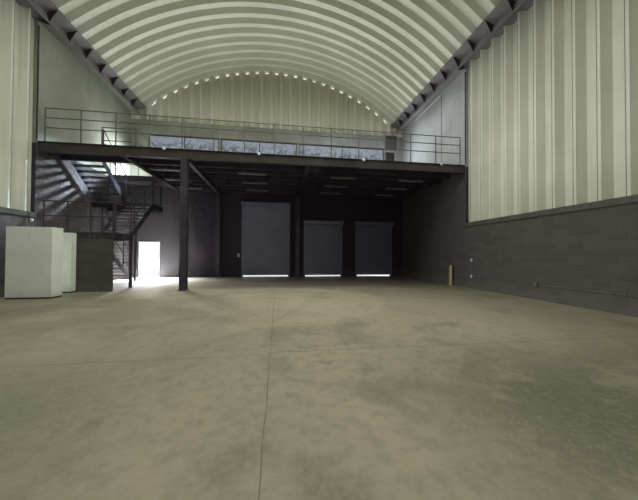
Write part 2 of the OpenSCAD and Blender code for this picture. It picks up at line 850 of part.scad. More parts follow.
floor_slab();
mirror([1, 0, 0]) side_block_wall();  // left_block_wall
side_block_wall();  // right_block_wall
mirror([1, 0, 0]) side_band();  // left_wall_band
side_band();  // right_wall_band
mirror([1, 0, 0]) side_panels();  // left_wall_panels
side_panels();  // right_wall_panels
mirror([1, 0, 0]) side_plain_wall();  // left_plain_wall
side_plain_wall();  // right_plain_wall
mirror([1, 0, 0]) springing_beam();  // left_springing_beam
springing_beam();  // right_springing_beam
roof_bay(0);  // roof_sheets_1
roof_bay(1);  // roof_sheets_2
roof_bay(2);  // roof_sheets_3
roof_bay(3);  // roof_sheets_4
roof_bay(4);  // roof_sheets_5
roof_bay(5);  // roof_sheets_6
back_wall_piers();
back_wall_lintels();
back_wall_upper();
back_window_piers();
back_window_glass();
back_wall_head();
back_gable_panels();
front_block_wall();
front_wall_band();
front_gable_panels();
entrance_frame();
entrance_hood();
entrance_guides();
shutter_curtains();
shutter_guides();
shutter_hoods();
mezzanine_deck();
mezzanine_front_beam();
mezzanine_columns();
mezzanine_girders();
mezzanine_joists();
mezzanine_rail();
stairwell_rail();
stair_stringers();
stair_treads();
stair_landings();
stair_posts();
stair_rails();
landing_block_wall();
white_cabinet();
white_locker();
light_fixtures();
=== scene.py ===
# %% [markdown]
# # A factory hall, dressed
#
# The hall was first built as solids in a CAD program: floor, block walls, corrugated walls and
# roof, an upper deck on steel beams and a stair. Those solids come in here as a fixed frame, in
# metres, and stay where they are. This lesson gives each of them a finish made of shader nodes, and
# adds the small things that a drawing leaves out: block faces, seams, bolts, lamps, conduit and
# handles.

# %% Load the frame
import math

import bmesh
import bpy
from mathutils import Matrix, Vector


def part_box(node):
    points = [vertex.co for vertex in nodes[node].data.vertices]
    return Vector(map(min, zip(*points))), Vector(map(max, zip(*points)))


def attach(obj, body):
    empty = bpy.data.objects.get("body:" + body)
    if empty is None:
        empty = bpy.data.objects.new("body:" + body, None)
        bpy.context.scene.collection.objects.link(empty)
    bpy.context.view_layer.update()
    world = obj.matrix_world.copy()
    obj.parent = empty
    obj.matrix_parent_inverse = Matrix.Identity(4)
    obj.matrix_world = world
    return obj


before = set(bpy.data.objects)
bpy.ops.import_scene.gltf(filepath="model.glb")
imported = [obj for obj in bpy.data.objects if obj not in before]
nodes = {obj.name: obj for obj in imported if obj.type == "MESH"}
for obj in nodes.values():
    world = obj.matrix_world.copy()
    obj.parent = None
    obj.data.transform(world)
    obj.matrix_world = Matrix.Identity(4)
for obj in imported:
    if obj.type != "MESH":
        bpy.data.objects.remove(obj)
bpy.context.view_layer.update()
print("CAD nodes:", len(nodes))

# %% [markdown]
# ## The main places
#
# Every added piece sits on something that is already there, and where it can, its place is read
# from the frame rather than typed in. A few lines of the hall are used again and again: the two side
# walls, the back wall, the edge of the upper deck and the height of the floor.

# %% Read the hall's main places
floor_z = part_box("floor_slab")[1].z
wall_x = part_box("right_plain_wall")[0].x
outer_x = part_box("right_plain_wall")[1].x
outer_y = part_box("floor_slab")[1].y
back_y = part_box("back_wall_piers")[0].y
deck_low, deck_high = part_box("mezzanine_deck")
deck_edge_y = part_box("mezzanine_front_beam")[0].y
deck_z = deck_high.z
block_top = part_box("right_block_wall")[1].z
band_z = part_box("right_wall_band")[0].z
panel_low, panel_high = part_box("right_wall_panels")
pitch = 0.61
crest_w = 0.09
both_sides = (("left", -1), ("right", 1))
print("floor", round(floor_z, 3), "walls", round(wall_x, 3), round(outer_x, 3))
print("back", round(back_y, 3), "deck", round(deck_edge_y, 3), round(deck_z, 3))

# %% [markdown]
# ## The camera
#
# The picture was taken standing on the floor with a very wide lens, turned a little to the right.
# Its place and lens were worked out from straight edges of the hall, so here they are only written
# down. Blender wants the lens in millimetres for a 36 mm wide sensor: the focal length in pixels,
# times the sensor's width, over the picture's width.

# %% Set the camera
image_w = 638
focal_px = 279.88
sensor_w = 36.0
eye = Vector((0.18, -5.765, 1.586))
yaw, tilt, roll = (math.radians(a) for a in (8.3403, 0.8521, 0.3382))

ahead = Vector((math.sin(yaw) * math.cos(tilt), math.cos(yaw) * math.cos(tilt), math.sin(tilt)))
level = Vector((math.cos(yaw), -math.sin(yaw), 0))
above = level.cross(ahead)
side = level * math.cos(roll) + above * math.sin(roll)
top = above * math.cos(roll) - level * math.sin(roll)

camera_data = bpy.data.cameras.new("hall_camera")
camera_data.sensor_width = sensor_w
camera_data.lens = focal_px * sensor_w / image_w
camera_data.clip_start = 0.02
camera_data.clip_end = 500
camera = bpy.data.objects.new("hall_camera", camera_data)
camera.matrix_world = Matrix.Translation(eye) @ Matrix((side, top, -ahead)).transposed().to_4x4()
bpy.context.scene.collection.objects.link(camera)
bpy.context.scene.camera = camera
bpy.context.scene.view_settings.view_transform = "Standard"
print("lens", round(camera_data.lens, 2), "mm")

# %% [markdown]
# ## Helpers for shader nodes
#
# A finish is a small network of nodes. `put` adds one node and fills its inputs: a value is written
# on the socket, and another node's output is linked to it. `calc` does one sum, `times` multiplies
# masks, `tint` goes from one colour to another where a mask says so, and `lay` puts a further
# colour over what is there, in full or by a share.

# %% Node helpers
def put(tree, kind, inputs=None, **settings):
    node = tree.nodes.new("ShaderNode" + kind)
    for key, value in settings.items():
        setattr(node, key, value)
    for key, value in (inputs or {}).items():
        fill(tree, node.inputs[key], value)
    return node


def fill(tree, socket, value):
    if isinstance(value, bpy.types.NodeSocket):
        tree.links.new(value, socket)
    else:
        socket.default_value = value


def calc(tree, operation, *values):
    node = put(tree, "Math", operation=operation)
    for socket, value in zip(node.inputs, values):
        fill(tree, socket, value)
    return node.outputs[0]


def times(tree, first, *others):
    for other in others:
        first = calc(tree, "MULTIPLY", first, other)
    return first


def ramp(tree, value, low, high, start=0.0, end=1.0):
    """The value's place between low and high, smoothed at both ends."""
    node = put(tree, "MapRange", interpolation_type="SMOOTHSTEP")
    for name, number in zip(("Value", "From Min", "From Max", "To Min", "To Max"),
                            (value, low, high, start, end)):
        fill(tree, node.inputs[name], number)
    return node.outputs[0]


def tint(tree, mask, base, other):
    node = put(tree, "Mix", data_type="RGBA")
    fill(tree, node.inputs[0], mask)
    for socket, colour in ((node.inputs[6], base), (node.inputs[7], other)):
        fill(tree, socket, (*colour, 1) if isinstance(colour, tuple) else colour)
    return node.outputs[2]


def lay(tree, base, mask, colour, share=None):
    return tint(tree, mask if share is None else times(tree, mask, share), base, colour)


def split(tree, vector):
    return put(tree, "SeparateXYZ", {"Vector": vector}).outputs


def place(tree):
    """Where on the hall a point is, in metres."""
    return put(tree, "TexCoord").outputs["Object"]


def where(tree):
    return split(tree, place(tree))


def facing(tree, kind="True Normal"):
    """Which way the surface looks, as three numbers."""
    return split(tree, put(tree, "NewGeometry").outputs[kind])


# %% [markdown]
# ## Node groups: the effects that many finishes share
#
# Dirt, streaks, fine grain and the courses of the blocks turn up on several finishes. Each is built
# once, as a group with its own inputs, and put into a material with other values. A group gives out
# only masks and heights. The shader itself stays in the material.

# %% A builder for groups
def shared_effect(name, inputs, outputs):
    tree = bpy.data.node_groups.new(name, "ShaderNodeTree")
    for label, value in inputs.items():
        socket = tree.interface.new_socket(label, in_out="INPUT", socket_type="NodeSocketFloat")
        socket.default_value = value
    for label in outputs:
        tree.interface.new_socket(label, in_out="OUTPUT", socket_type="NodeSocketFloat")
    entry = tree.nodes.new("NodeGroupInput")
    way_out = tree.nodes.new("NodeGroupOutput")
    return tree, entry.outputs, way_out.inputs


def effect(tree, group, **inputs):
    node = put(tree, "Group")
    node.node_tree = group
    for key, value in inputs.items():
        fill(tree, node.inputs[key], value)
    return node.outputs


# %% [markdown]
# ### Mottle
#
# Old concrete and old paint are never one colour. Mottle is plain noise, cut to a low and a high
# level, so that the same group makes wide clouds on the floor and small spots on a beam.

# %% Group: mottle
mottle, inner, out = shared_effect("mottle", {"Scale": 1, "Low": 0.35, "High": 0.65}, ["Mask"])
noise = put(mottle, "TexNoise", {"Vector": place(mottle), "Scale": inner["Scale"], "Detail": 5,
                                 "Roughness": 0.6})
mottle.links.new(ramp(mottle, noise.outputs["Fac"], inner["Low"], inner["High"]), out["Mask"])
print("group:", mottle.name)

# %% [markdown]
# ### Streaks
#
# Water and dust run down a wall and along a beam, and leave long thin marks. Noise that is squeezed
# one way does this: many changes across, few changes down.

# %% Group: streaks
streaks, inner, out = shared_effect(
    "streaks", {"Across": 8, "Down": 0.4, "Low": 0.45, "High": 0.75}, ["Mask"])
squeezed = put(streaks, "CombineXYZ")
for part, squeeze, socket in zip(where(streaks), ("Across", "Across", "Down"),
                                 squeezed.inputs):
    fill(streaks, socket, times(streaks, part, inner[squeeze]))
noise = put(streaks, "TexNoise", {"Vector": squeezed.outputs[0], "Scale": 1, "Detail": 3,
                                  "Roughness": 0.55})
streaks.links.new(ramp(streaks, noise.outputs["Fac"], inner["Low"], inner["High"]), out["Mask"])
print("group:", streaks.name)

# %% [markdown]
# ### Courses
#
# Blocks are laid in courses, each half a block along from the one below. The group finds which
# block a point is on, and gives a shade that is the same all over that block and another on the
# next. It also marks the joints. A wall that faces sideways runs along Y, and one that faces the
# front runs along X, so the group looks at the surface's direction first.

# %% Group: courses
block_l = 0.4
course_h = 0.2
joint_w = 0.01
courses, inner, out = shared_effect(
    "courses", {"Length": block_l, "Course": course_h, "Joint": joint_w}, ["Joint", "Shade"])
x, y, z = where(courses)
sideways = calc(courses, "GREATER_THAN", calc(courses, "ABSOLUTE", facing(courses)[0]), 0.5)
along = calc(courses, "ADD", times(courses, y, sideways),
             times(courses, x, calc(courses, "SUBTRACT", 1, sideways)))
rise = calc(courses, "DIVIDE", calc(courses, "SUBTRACT", z, floor_z), inner["Course"])
row = calc(courses, "FLOOR", rise)
shift = times(courses, calc(courses, "PINGPONG", row, 1), 0.5)
run = calc(courses, "SUBTRACT", calc(courses, "DIVIDE", along, inner["Length"]), shift)
spot = put(courses, "CombineXYZ", {"X": calc(courses, "FLOOR", run), "Y": row, "Z": sideways})
shade = put(courses, "TexWhiteNoise", {"Vector": spot.outputs[0]}, noise_dimensions="3D")
end_gap = times(courses, calc(courses, "PINGPONG", run, 0.5), inner["Length"])
bed_gap = times(courses, calc(courses, "PINGPONG", rise, 0.5), inner["Course"])
nearest = calc(courses, "MINIMUM", end_gap, bed_gap)
courses.links.new(calc(courses, "LESS_THAN", nearest, times(courses, inner["Joint"], 0.5)),
                  out["Joint"])
courses.links.new(shade.outputs["Value"], out["Shade"])
print("group:", courses.name)

# %% [markdown]
# ### Dust and splash
#
# Dust lies on what faces up. Splash is the dirt that boots, wheels and mops leave on the lowest
# part of a wall. Both are masks, so each finish says how strong they are and in which colour.

# %% Groups: dust and splash
dust, inner, out = shared_effect("dust", {"Scale": 3, "Low": 0.3, "High": 0.7}, ["Mask"])
cover = effect(dust, mottle, Scale=inner["Scale"], Low=inner["Low"], High=inner["High"])["Mask"]
upward = ramp(dust, facing(dust, "Normal")[2], 0.5, 0.95)
dust.links.new(times(dust, upward, cover), out["Mask"])

splash, inner, out = shared_effect("splash", {"Reach": 0.5, "Scale": 2}, ["Mask"])
noise = put(splash, "TexNoise", {"Vector": place(splash), "Scale": inner["Scale"], "Detail": 4})
height = calc(splash, "SUBTRACT", where(splash)[2], floor_z)
ragged = calc(splash, "ADD", calc(splash, "DIVIDE", height, inner["Reach"]), noise.outputs["Fac"])
splash.links.new(ramp(splash, ragged, 1.3, 0.5), out["Mask"])
print("groups:", dust.name, splash.name)

# %% [markdown]
# ### Grain
#
# Up close no surface is smooth. Real bumps of this size would need millions of faces, so grain
# gives a height that a bump node turns into small shadows. It has a coarse part for trowel and
# roller marks and a fine part for sand and paint.

# %% Group: grain
grain, inner, out = shared_effect("grain", {"Coarse": 6, "Fine": 90, "Share": 0.4}, ["Height"])
coarse = put(grain, "TexNoise", {"Vector": place(grain), "Scale": inner["Coarse"], "Detail": 3})
fine = put(grain, "TexNoise", {"Vector": place(grain), "Scale": inner["Fine"], "Detail": 2})
both = put(grain, "Mix", data_type="FLOAT")
for socket, value in zip((both.inputs[0], both.inputs[2], both.inputs[3]),
                         (inner["Share"], coarse.outputs["Fac"], fine.outputs["Fac"])):
    fill(grain, socket, value)
grain.links.new(both.outputs[0], out["Height"])
print("group:", grain.name)

# %% [markdown]
# ## Finishes
#
# Each finish starts from a Principled shader. What is the same all over, such as metal or gloss, is
# written on the shader's own socket. Only what changes over the surface comes from nodes. The short
# helpers `spots`, `drips`, `settled` and `foot_dirt` put one of the groups in with its values, in
# the order in which the group has them. `finish_off` comes last: it links the colour and adds grain
# with a depth in metres.

# %% Helpers for finishes
def finish(name, roughness, specular=0.5, coat=0.0):
    material = bpy.data.materials.new(name)
    material.use_nodes = True
    shader = material.node_tree.nodes["Principled BSDF"]
    shader.inputs["Roughness"].default_value = roughness
    shader.inputs["Specular IOR Level"].default_value = specular
    shader.inputs["Coat Weight"].default_value = coat
    shader.inputs["Coat Roughness"].default_value = 0.2
    return material, material.node_tree, shader.inputs


def spots(tree, scale, low, high):
    return effect(tree, mottle, Scale=scale, Low=low, High=high)["Mask"]


def drips(tree, across, down, low, high):
    return effect(tree, streaks, Across=across, Down=down, Low=low, High=high)["Mask"]


def settled(tree, scale, low, high):
    return effect(tree, dust, Scale=scale, Low=low, High=high)["Mask"]


def foot_dirt(tree, reach, scale):
    return effect(tree, splash, Reach=reach, Scale=scale)["Mask"]


def bump(tree, shader, height, depth):
    node = put(tree, "Bump", {"Height": height, "Distance": depth, "Strength": 1.0})
    tree.links.new(node.outputs["Normal"], shader["Normal"])


def finish_off(tree, shader, base, depth, coarse, fine, share):
    tree.links.new(base, shader["Base Color"])
    bump(tree, shader, effect(tree, grain, Coarse=coarse, Fine=fine, Share=share)["Height"], depth)


def paint(material, *names):
    for name in names:
        slots = nodes[name].material_slots
        if not slots:
            nodes[name].data.materials.append(material)
        for each in slots:
            each.material = material
        print(material.name, "->", name)


# %% [markdown]
# ### The floor
#
# The floor is power-floated concrete that has been driven on for years. It is beige where wheels
# polish it and olive grey where damp and dust stay. A picture laid on it would blur up close, so
# the colour is built in layers. Wide clouds of mottle and ramps along and across the hall give the
# large places, a painted shade under the deck and a painted pool of light by the doorway. Four
# finer layers of mottle add stains, marks, scuffs and specks. The floor is a little shiny, so the
# bright doorway shows in it as a glow.

# %% Finish: concrete floor
concrete, tree, shader = finish("floor_concrete", 0.5, specular=0.4)
x, y, _ = where(tree)
clouds = spots(tree, 0.28, 0.38, 0.62)
near_left = times(tree, ramp(tree, x, -0.4, -2.5), ramp(tree, y, -0.5, -3.2, 0, 0.8))
damp = calc(tree, "MAXIMUM", times(tree, clouds, 0.6), near_left)
base = tint(tree, damp, (0.315, 0.285, 0.205), (0.15, 0.156, 0.102))

track_x = 2.8
wheels = ramp(tree, calc(tree, "ABSOLUTE", calc(tree, "SUBTRACT", x, track_x)), 4.8, 1.5)
driven = times(tree, wheels, ramp(tree, y, -6.5, -2.5), ramp(tree, y, 5.0, 1.5, 0.45, 1.0))
base = lay(tree, base, driven, (0.42, 0.37, 0.275), 0.7)

blotches = ramp(tree, spots(tree, 0.75, 0.40, 0.60), 0, 1, 0.55, 1.0)
near_right = times(tree, ramp(tree, x, 0.9, 3.0), ramp(tree, y, -0.6, -3.4), blotches)
base = lay(tree, base, near_right, (0.128, 0.129, 0.082))
# Painted shade: the floor is darker under the deck.
painted_deck_shade = times(tree, ramp(tree, y, 5.4, 7.2), ramp(tree, x, -4.5, -2.0))
base = lay(tree, base, painted_deck_shade, (0.12, 0.092, 0.075), 0.9)
# Painted light: a pale pool of the doorway's light on the floor.
doorway_light_paint = times(tree, ramp(tree, x, -3.2, -6.0), ramp(tree, y, 4.5, 9.0))
base = lay(tree, base, doorway_light_paint, (0.56, 0.56, 0.60), 0.9)

stains = (0.9, 0.5, 0.68), (0.135, 0.135, 0.088), 0.5
marks = (2.6, 0.6, 0.72), (0.09, 0.087, 0.06), 0.4
scuffs = (6, 0.42, 0.66), (0.14, 0.14, 0.092), 0.3
specks = (22, 0.4, 0.8), (0.42, 0.385, 0.295), 0.3
for mottling, colour, share in (stains, marks, scuffs, specks):
    base = lay(tree, base, spots(tree, *mottling), colour, share)
tree.links.new(ramp(tree, clouds, 0, 1, 0.4, 0.58), shader["Roughness"])
finish_off(tree, shader, base, 0.004, 1.6, 60, 0.3)
paint(concrete, "floor_slab")

# %% [markdown]
# ### The painted block walls
#
# The lower walls are concrete blocks under a dark brown grey paint. Every block took the paint a
# little differently, which the courses group gives, and the joints hold dust. The lowest part is
# lighter, because the floor's dust splashes up. The back wall is nearly black, is painted paler
# beside the doorway as painted light from the doorway, and has the lighter paint of the other walls
# on its outer face.

# %% Finish: painted blocks
light_outside = (0.100, 0.088, 0.082)


def outside_back(tree, y):
    return calc(tree, "GREATER_THAN", y, back_y + 0.1)


def block_paint(name, light, dark, dusty, painted_door_light=None):
    material, tree, shader = finish(name, 0.75, specular=0.3)
    laid = effect(tree, courses)
    base = tint(tree, laid["Shade"], light, dark)
    base = lay(tree, base, spots(tree, 0.7, 0.35, 0.7), dark, 0.3)
    base = lay(tree, base, laid["Joint"], dusty, 0.5)
    base = lay(tree, base, foot_dirt(tree, 0.7, 3), dusty, 0.35)
    if painted_door_light:
        x, y, _ = where(tree)
        # Painted light: the back wall is paler towards the doorway.
        base = lay(tree, base, ramp(tree, x, -3.8, -6.8, 0, 0.85), painted_door_light)
        base = lay(tree, base, outside_back(tree, y), light_outside)
    finish_off(tree, shader, base, 0.006, 30, 140, 0.5)
    return material


blocks = block_paint("painted_blocks", (0.081, 0.071, 0.066), (0.065, 0.056, 0.053),
                     (0.14, 0.128, 0.11))
paint(blocks, "left_block_wall", "right_block_wall", "front_block_wall", "landing_block_wall")
back_blocks = block_paint("painted_back_blocks", (0.036, 0.024, 0.035), (0.030, 0.020, 0.029),
                          (0.075, 0.06, 0.068), painted_door_light=(0.095, 0.09, 0.09))
paint(back_blocks, "back_wall_piers", "back_wall_lintels")

# %% [markdown]
# ### The plain walls
#
# Above the deck the walls are smooth render in a cool grey green. Under the deck the same wall has
# the dark paint of the blocks. One finish does both, and changes over by height. The left wall is a
# little greener than the right one. Under the deck its dark paint is made darker on the left as
# painted shade under the stair, and painted light from the doorway makes it paler by the door.

# %% Finish: plain walls
render, tree, shader = finish("plain_render", 0.7, specular=0.3)
x, y, z = where(tree)
right_side = ramp(tree, x, -6, 6)
light = tint(tree, right_side, (0.335, 0.35, 0.29), (0.345, 0.35, 0.335))
shade = tint(tree, right_side, (0.225, 0.24, 0.185), (0.25, 0.253, 0.24))
base = tint(tree, spots(tree, 0.55, 0.3, 0.7), light, shade)
base = lay(tree, base, drips(tree, 5, 0.35, 0.5, 0.8), (0.17, 0.17, 0.13), 0.3)
shaded_end = times(tree, ramp(tree, x, -7, -8.4), ramp(tree, y, 10.0, 7.6))
base = lay(tree, base, shaded_end, (0.13, 0.14, 0.105), 0.35)

laid = effect(tree, courses)
dark = tint(tree, laid["Shade"], (0.056, 0.041, 0.049), (0.046, 0.033, 0.040))
# Painted shade: the left side under the deck is darker.
dark = lay(tree, dark, ramp(tree, x, 0, -1, 0.0, 0.9), (0.028, 0.022, 0.032))
# Painted light: the wall beside the doorway is paler.
doorway_light_paint = times(tree, ramp(tree, y, 8.5, 11.0), ramp(tree, z, 3.2, 1.8), ramp(tree, x, -7, -8))
dark = lay(tree, dark, doorway_light_paint, (0.19, 0.18, 0.20))
dark = lay(tree, dark, outside_back(tree, y), light_outside)

outside = calc(tree, "GREATER_THAN", calc(tree, "ABSOLUTE", x), outer_x - 0.02)
dark_height = ramp(tree, outside, 0, 1, deck_z - 0.07, block_top)
under = ramp(tree, calc(tree, "SUBTRACT", z, dark_height), 0.02, -0.02)
finish_off(tree, shader, tint(tree, under, base, dark), 0.003, 4, 70, 0.3)
paint(render, "left_plain_wall", "right_plain_wall", "back_wall_upper", "back_window_piers",
      "back_wall_head")

# %% [markdown]
# ### The corrugated sheets
#
# The upper walls, the two gables and the arched roof are rolled steel sheet with a cream coating, a
# little glossy. Dust runs down the sheets in streaks. The gables are painted lighter than the walls
# as painted light, and browner and darker towards their tops as painted shade. The roof's ribs are
# painted darker on their flanks than on their crests as painted shade. So each has a finish of its
# own from the same recipe. The machine that bends a sheet into an arch leaves small cross marks,
# the crimps. They are a sine wave along the arch that feeds a bump.

# %% Finish: wall sheets and roof sheets
def sheet_coating(name, light, shaded, dirt, roughness, coat):
    material, tree, shader = finish(name, roughness, coat=coat)
    base = tint(tree, spots(tree, 0.45, 0.3, 0.7), light, shaded)
    return material, tree, shader, lay(tree, base, drips(tree, 9, 0.3, 0.5, 0.78), dirt, 0.4)


wall_cream, tree, shader, base = sheet_coating(
    "wall_sheet_coating", (0.60, 0.605, 0.51), (0.50, 0.51, 0.42), (0.36, 0.365, 0.26), 0.3, 0.35)
z = where(tree)[2]
low_part = ramp(tree, z, block_top + 1.4, block_top)
finish_off(tree, shader, lay(tree, base, low_part, (0.36, 0.36, 0.25), 0.25), 0.002, 2.2, 25, 0.1)
paint(wall_cream, "left_wall_panels", "right_wall_panels")

# Painted light: the gable coating is lighter than the wall sheets'.
gable_lit_and_shaded_cream, tree, shader, base = sheet_coating(
    "gable_coating_painted_light_and_shade", (0.78, 0.77, 0.65), (0.68, 0.67, 0.56), (0.42, 0.41, 0.30), 0.35, 0.2)
z = where(tree)[2]
# Painted shade: browner and darker towards the top of the gables.
painted_gable_top_shade = ramp(tree, z, panel_high.z - 0.3, panel_high.z + 2.2, 0.0, 0.6)
finish_off(tree, shader, lay(tree, base, painted_gable_top_shade, (0.36, 0.32, 0.23)), 0.002, 2.2, 25, 0.1)
paint(gable_lit_and_shaded_cream, "front_gable_panels", "back_gable_panels")

roof_side_shaded_cream, tree, shader, base = sheet_coating(
    "roof_coating_painted_rib_shade", (0.68, 0.70, 0.59), (0.57, 0.59, 0.49), (0.36, 0.37, 0.28), 0.35, 0.2)
# Painted shade: the flanks of the ribs, which face along the hall, are darker.
painted_rib_side_shade = ramp(tree, calc(tree, "ABSOLUTE", facing(tree)[1]), 0.45, 0.6)
tree.links.new(lay(tree, base, painted_rib_side_shade, (0.40, 0.42, 0.29), 0.55), shader["Base Color"])
x, _, z = where(tree)
arch_r = 11.85
rib_depth = 0.2
arch_axis_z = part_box("roof_sheets_1")[1].z - arch_r - rib_depth
angle = calc(tree, "ARCTAN2", x, calc(tree, "SUBTRACT", z, arch_axis_z))
crimp_pitch = 0.06
turns = times(tree, angle, arch_r * 2 * math.pi / crimp_pitch)
bump(tree, shader, times(tree, calc(tree, "SINE", turns), 0.5), 0.0015)
paint(roof_side_shaded_cream, *(f"roof_sheets_{n}" for n in range(1, 7)))

# %% [markdown]
# ### Steelwork
#
# Beams, columns and rails are brushed over with dark paint. Paint on steel is a little shiny, it is
# rubbed thin in places, and dust lies on the upper faces. One recipe serves them all with other
# colours: the springing beams are a lighter purple grey than the deck's beams. Their gussets stand
# in deep shade, and that shade is painted in: the recipe can take one more, nearly black colour,
# as painted shade for the faces that look along the hall.

# %% Finish: painted steel
def steel_paint(name, light, dark, dusty, roughness=0.45, painted_face_shade=None):
    material, tree, shader = finish(name, roughness, specular=0.45)
    clouds = spots(tree, 1.4, 0.3, 0.7)
    base = tint(tree, clouds, light, dark)
    # Painted shade: the gussets, the faces that look along the hall, are nearly black.
    if painted_face_shade:
        shade_facing_y_mask = calc(tree, "GREATER_THAN", calc(tree, "ABSOLUTE", facing(tree)[1]), 0.8)
        base = lay(tree, base, shade_facing_y_mask, painted_face_shade)
    base = lay(tree, base, drips(tree, 14, 1.2, 0.52, 0.75), dusty, 0.35)
    base = lay(tree, base, settled(tree, 5, 0.25, 0.6), dusty, 0.5)
    tree.links.new(ramp(tree, clouds, 0, 1, roughness - 0.08, roughness + 0.12),
                   shader["Roughness"])
    finish_off(tree, shader, base, 0.0015, 18, 120, 0.3)
    return material


beam_grey = steel_paint("beam_paint_with_face_shade", (0.205, 0.19, 0.195), (0.145, 0.134, 0.138),
                        (0.25, 0.235, 0.215), painted_face_shade=(0.035, 0.028, 0.03))
deck_brown = steel_paint("deck_beam_paint", (0.046, 0.035, 0.046), (0.029, 0.022, 0.030),
                         (0.13, 0.12, 0.11))
deck_edge = steel_paint("deck_edge_paint", (0.044, 0.037, 0.033), (0.030, 0.025, 0.023),
                        (0.07, 0.066, 0.058))
rail_grey = steel_paint("rail_paint", (0.12, 0.118, 0.11), (0.08, 0.078, 0.074),
                        (0.24, 0.235, 0.21), 0.4)
stair_dark = steel_paint("stair_paint", (0.034, 0.028, 0.032), (0.02, 0.017, 0.02),
                         (0.13, 0.125, 0.125), 0.5)
band_olive = steel_paint("band_paint", (0.085, 0.084, 0.066), (0.06, 0.058, 0.047),
                         (0.15, 0.147, 0.12))
paint(beam_grey, "left_springing_beam", "right_springing_beam")
paint(deck_brown, "mezzanine_columns", "mezzanine_girders", "mezzanine_joists")
paint(deck_edge, "mezzanine_front_beam")
paint(rail_grey, "mezzanine_rail", "stairwell_rail")
paint(stair_dark, "stair_stringers", "stair_treads", "stair_landings", "stair_rails",
      "stair_posts", "entrance_frame")
paint(band_olive, "left_wall_band", "right_wall_band", "front_wall_band")

# %% [markdown]
# ### The deck
#
# The upper floor is concrete on steel decking. Its top is pale and dusty, and its underside is dark
# paint. Two materials would need the faces sorted, so one finish looks at which way the surface
# faces.

# %% Finish: the deck
deck_paint, tree, shader = finish("deck_top_and_underside", 0.6, specular=0.35)
clouds = spots(tree, 0.9, 0.35, 0.65)
worn_top = tint(tree, clouds, (0.36, 0.345, 0.30), (0.27, 0.262, 0.22))
soffit = tint(tree, clouds, (0.040, 0.029, 0.042), (0.024, 0.018, 0.026))
on_top = calc(tree, "GREATER_THAN", facing(tree, "Normal")[2], 0.5)
finish_off(tree, shader, tint(tree, on_top, soffit, worn_top), 0.002, 5, 80, 0.4)
paint(deck_paint, "mezzanine_deck")

# %% [markdown]
# ### Roller shutters
#
# The curtains are steel slats with a blue grey coating that has gone a bit chalky, darker on the
# two small shutters. Each slat catches dust on its upper curve, and hands leave the lower slats
# darker.

# %% Finish: shutters
shutter_blue, tree, shader = finish("shutter_coating", 0.42)
x = where(tree)[0]
base = tint(tree, spots(tree, 1.1, 0.3, 0.7), (0.20, 0.195, 0.275), (0.16, 0.153, 0.22))
base = lay(tree, base, ramp(tree, x, 0.8, 5.5, 0.0, 0.7), (0.075, 0.07, 0.105))
base = lay(tree, base, settled(tree, 6, 0.2, 0.7), (0.34, 0.34, 0.33), 0.4)
base = lay(tree, base, foot_dirt(tree, 0.8, 2), (0.12, 0.12, 0.13), 0.4)
finish_off(tree, shader, base, 0.001, 9, 70, 0.3)
paint(shutter_blue, "shutter_curtains", "shutter_guides", "shutter_hoods", "entrance_hood",
      "entrance_guides")

# %% [markdown]
# ### White panels and lamps
#
# The cabinet and the locker are white coated board that has yellowed to a pale green, and they show
# faint rub marks. The long lamps under the deck are off and grey with dirt, from the same recipe.

# %% Finish: white panels and fixtures
def white_coating(name, light, aged, marks_colour, roughness):
    material, tree, shader = finish(name, roughness, specular=0.45)
    base = tint(tree, spots(tree, 1.2, 0.3, 0.7), light, aged)
    base = lay(tree, base, drips(tree, 6, 2, 0.58, 0.8), marks_colour, 0.3)
    base = lay(tree, base, foot_dirt(tree, 0.5, 3), marks_colour, 0.45)
    finish_off(tree, shader, base, 0.001, 8, 60, 0.3)
    return material


cabinet_white = white_coating("cabinet_coating", (0.80, 0.85, 0.75), (0.72, 0.78, 0.67),
                              (0.42, 0.44, 0.33), 0.4)
enamel = white_coating("lamp_enamel", (0.15, 0.145, 0.15), (0.11, 0.106, 0.11),
                       (0.08, 0.076, 0.078), 0.35)
paint(cabinet_white, "white_cabinet", "white_locker")
paint(enamel, "light_fixtures")

# %% [markdown]
# ### The window over the deck
#
# The long window is obscured glass, so it is bright and bluish but shows nothing clearly. The light
# comes through a rough transmission, and darker flecks in the colour, stronger on its lower part,
# make a blurred dark pattern in it.

# %% Finish: obscured glass
glass, tree, shader = finish("obscured_glass", 0.35)
shader["Transmission Weight"].default_value = 0.85
shader["IOR"].default_value = 1.45
z = where(tree)[2]
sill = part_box("back_window_glass")[0].z
low_part = ramp(tree, z, sill + 1.75, sill + 1.35, 0.35, 0.85)
flecks = times(tree, spots(tree, 5.5, 0.46, 0.56), low_part)
base = tint(tree, flecks, (0.35, 0.39, 0.45), (0.08, 0.10, 0.13))
finish_off(tree, shader, base, 0.003, 14, 80, 0.3)
paint(glass, "back_window_glass")

# %% [markdown]
# ## Helpers for shapes
#
# The small pieces are made from a few kinds of stock, as in a workshop: boards with their edges cut
# off, plain slanted boxes, strips made of rings of four corners, rods swept along a line, and
# bolts. Each helper gives corners and sides, and `make` joins a list of them into one piece, turns
# the faces outwards, and puts it on the frame. `solids` finds the separate solids of a CAD node, so
# that small pieces can sit on each of them.

# %% Stock for the small pieces
def make(name, shapes, material, smooth=False):
    corners, sides = [], []
    for points, faces in shapes:
        start = len(corners)
        corners += [tuple(point) for point in points]
        sides += [tuple(start + number for number in face) for face in faces]
    mesh = bpy.data.meshes.new(name)
    mesh.from_pydata(corners, [], sides)
    work = bmesh.new()
    work.from_mesh(mesh)
    bmesh.ops.recalc_face_normals(work, faces=work.faces)
    work.to_mesh(mesh)
    work.free()
    mesh.materials.append(material)
    if smooth:
        mesh.shade_smooth()
        mesh.set_sharp_from_angle(angle=math.radians(40))
    piece = bpy.data.objects.new(name, mesh)
    bpy.context.scene.collection.objects.link(piece)
    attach(piece, "root")
    print(name, len(shapes), "shapes", len(sides), "faces")


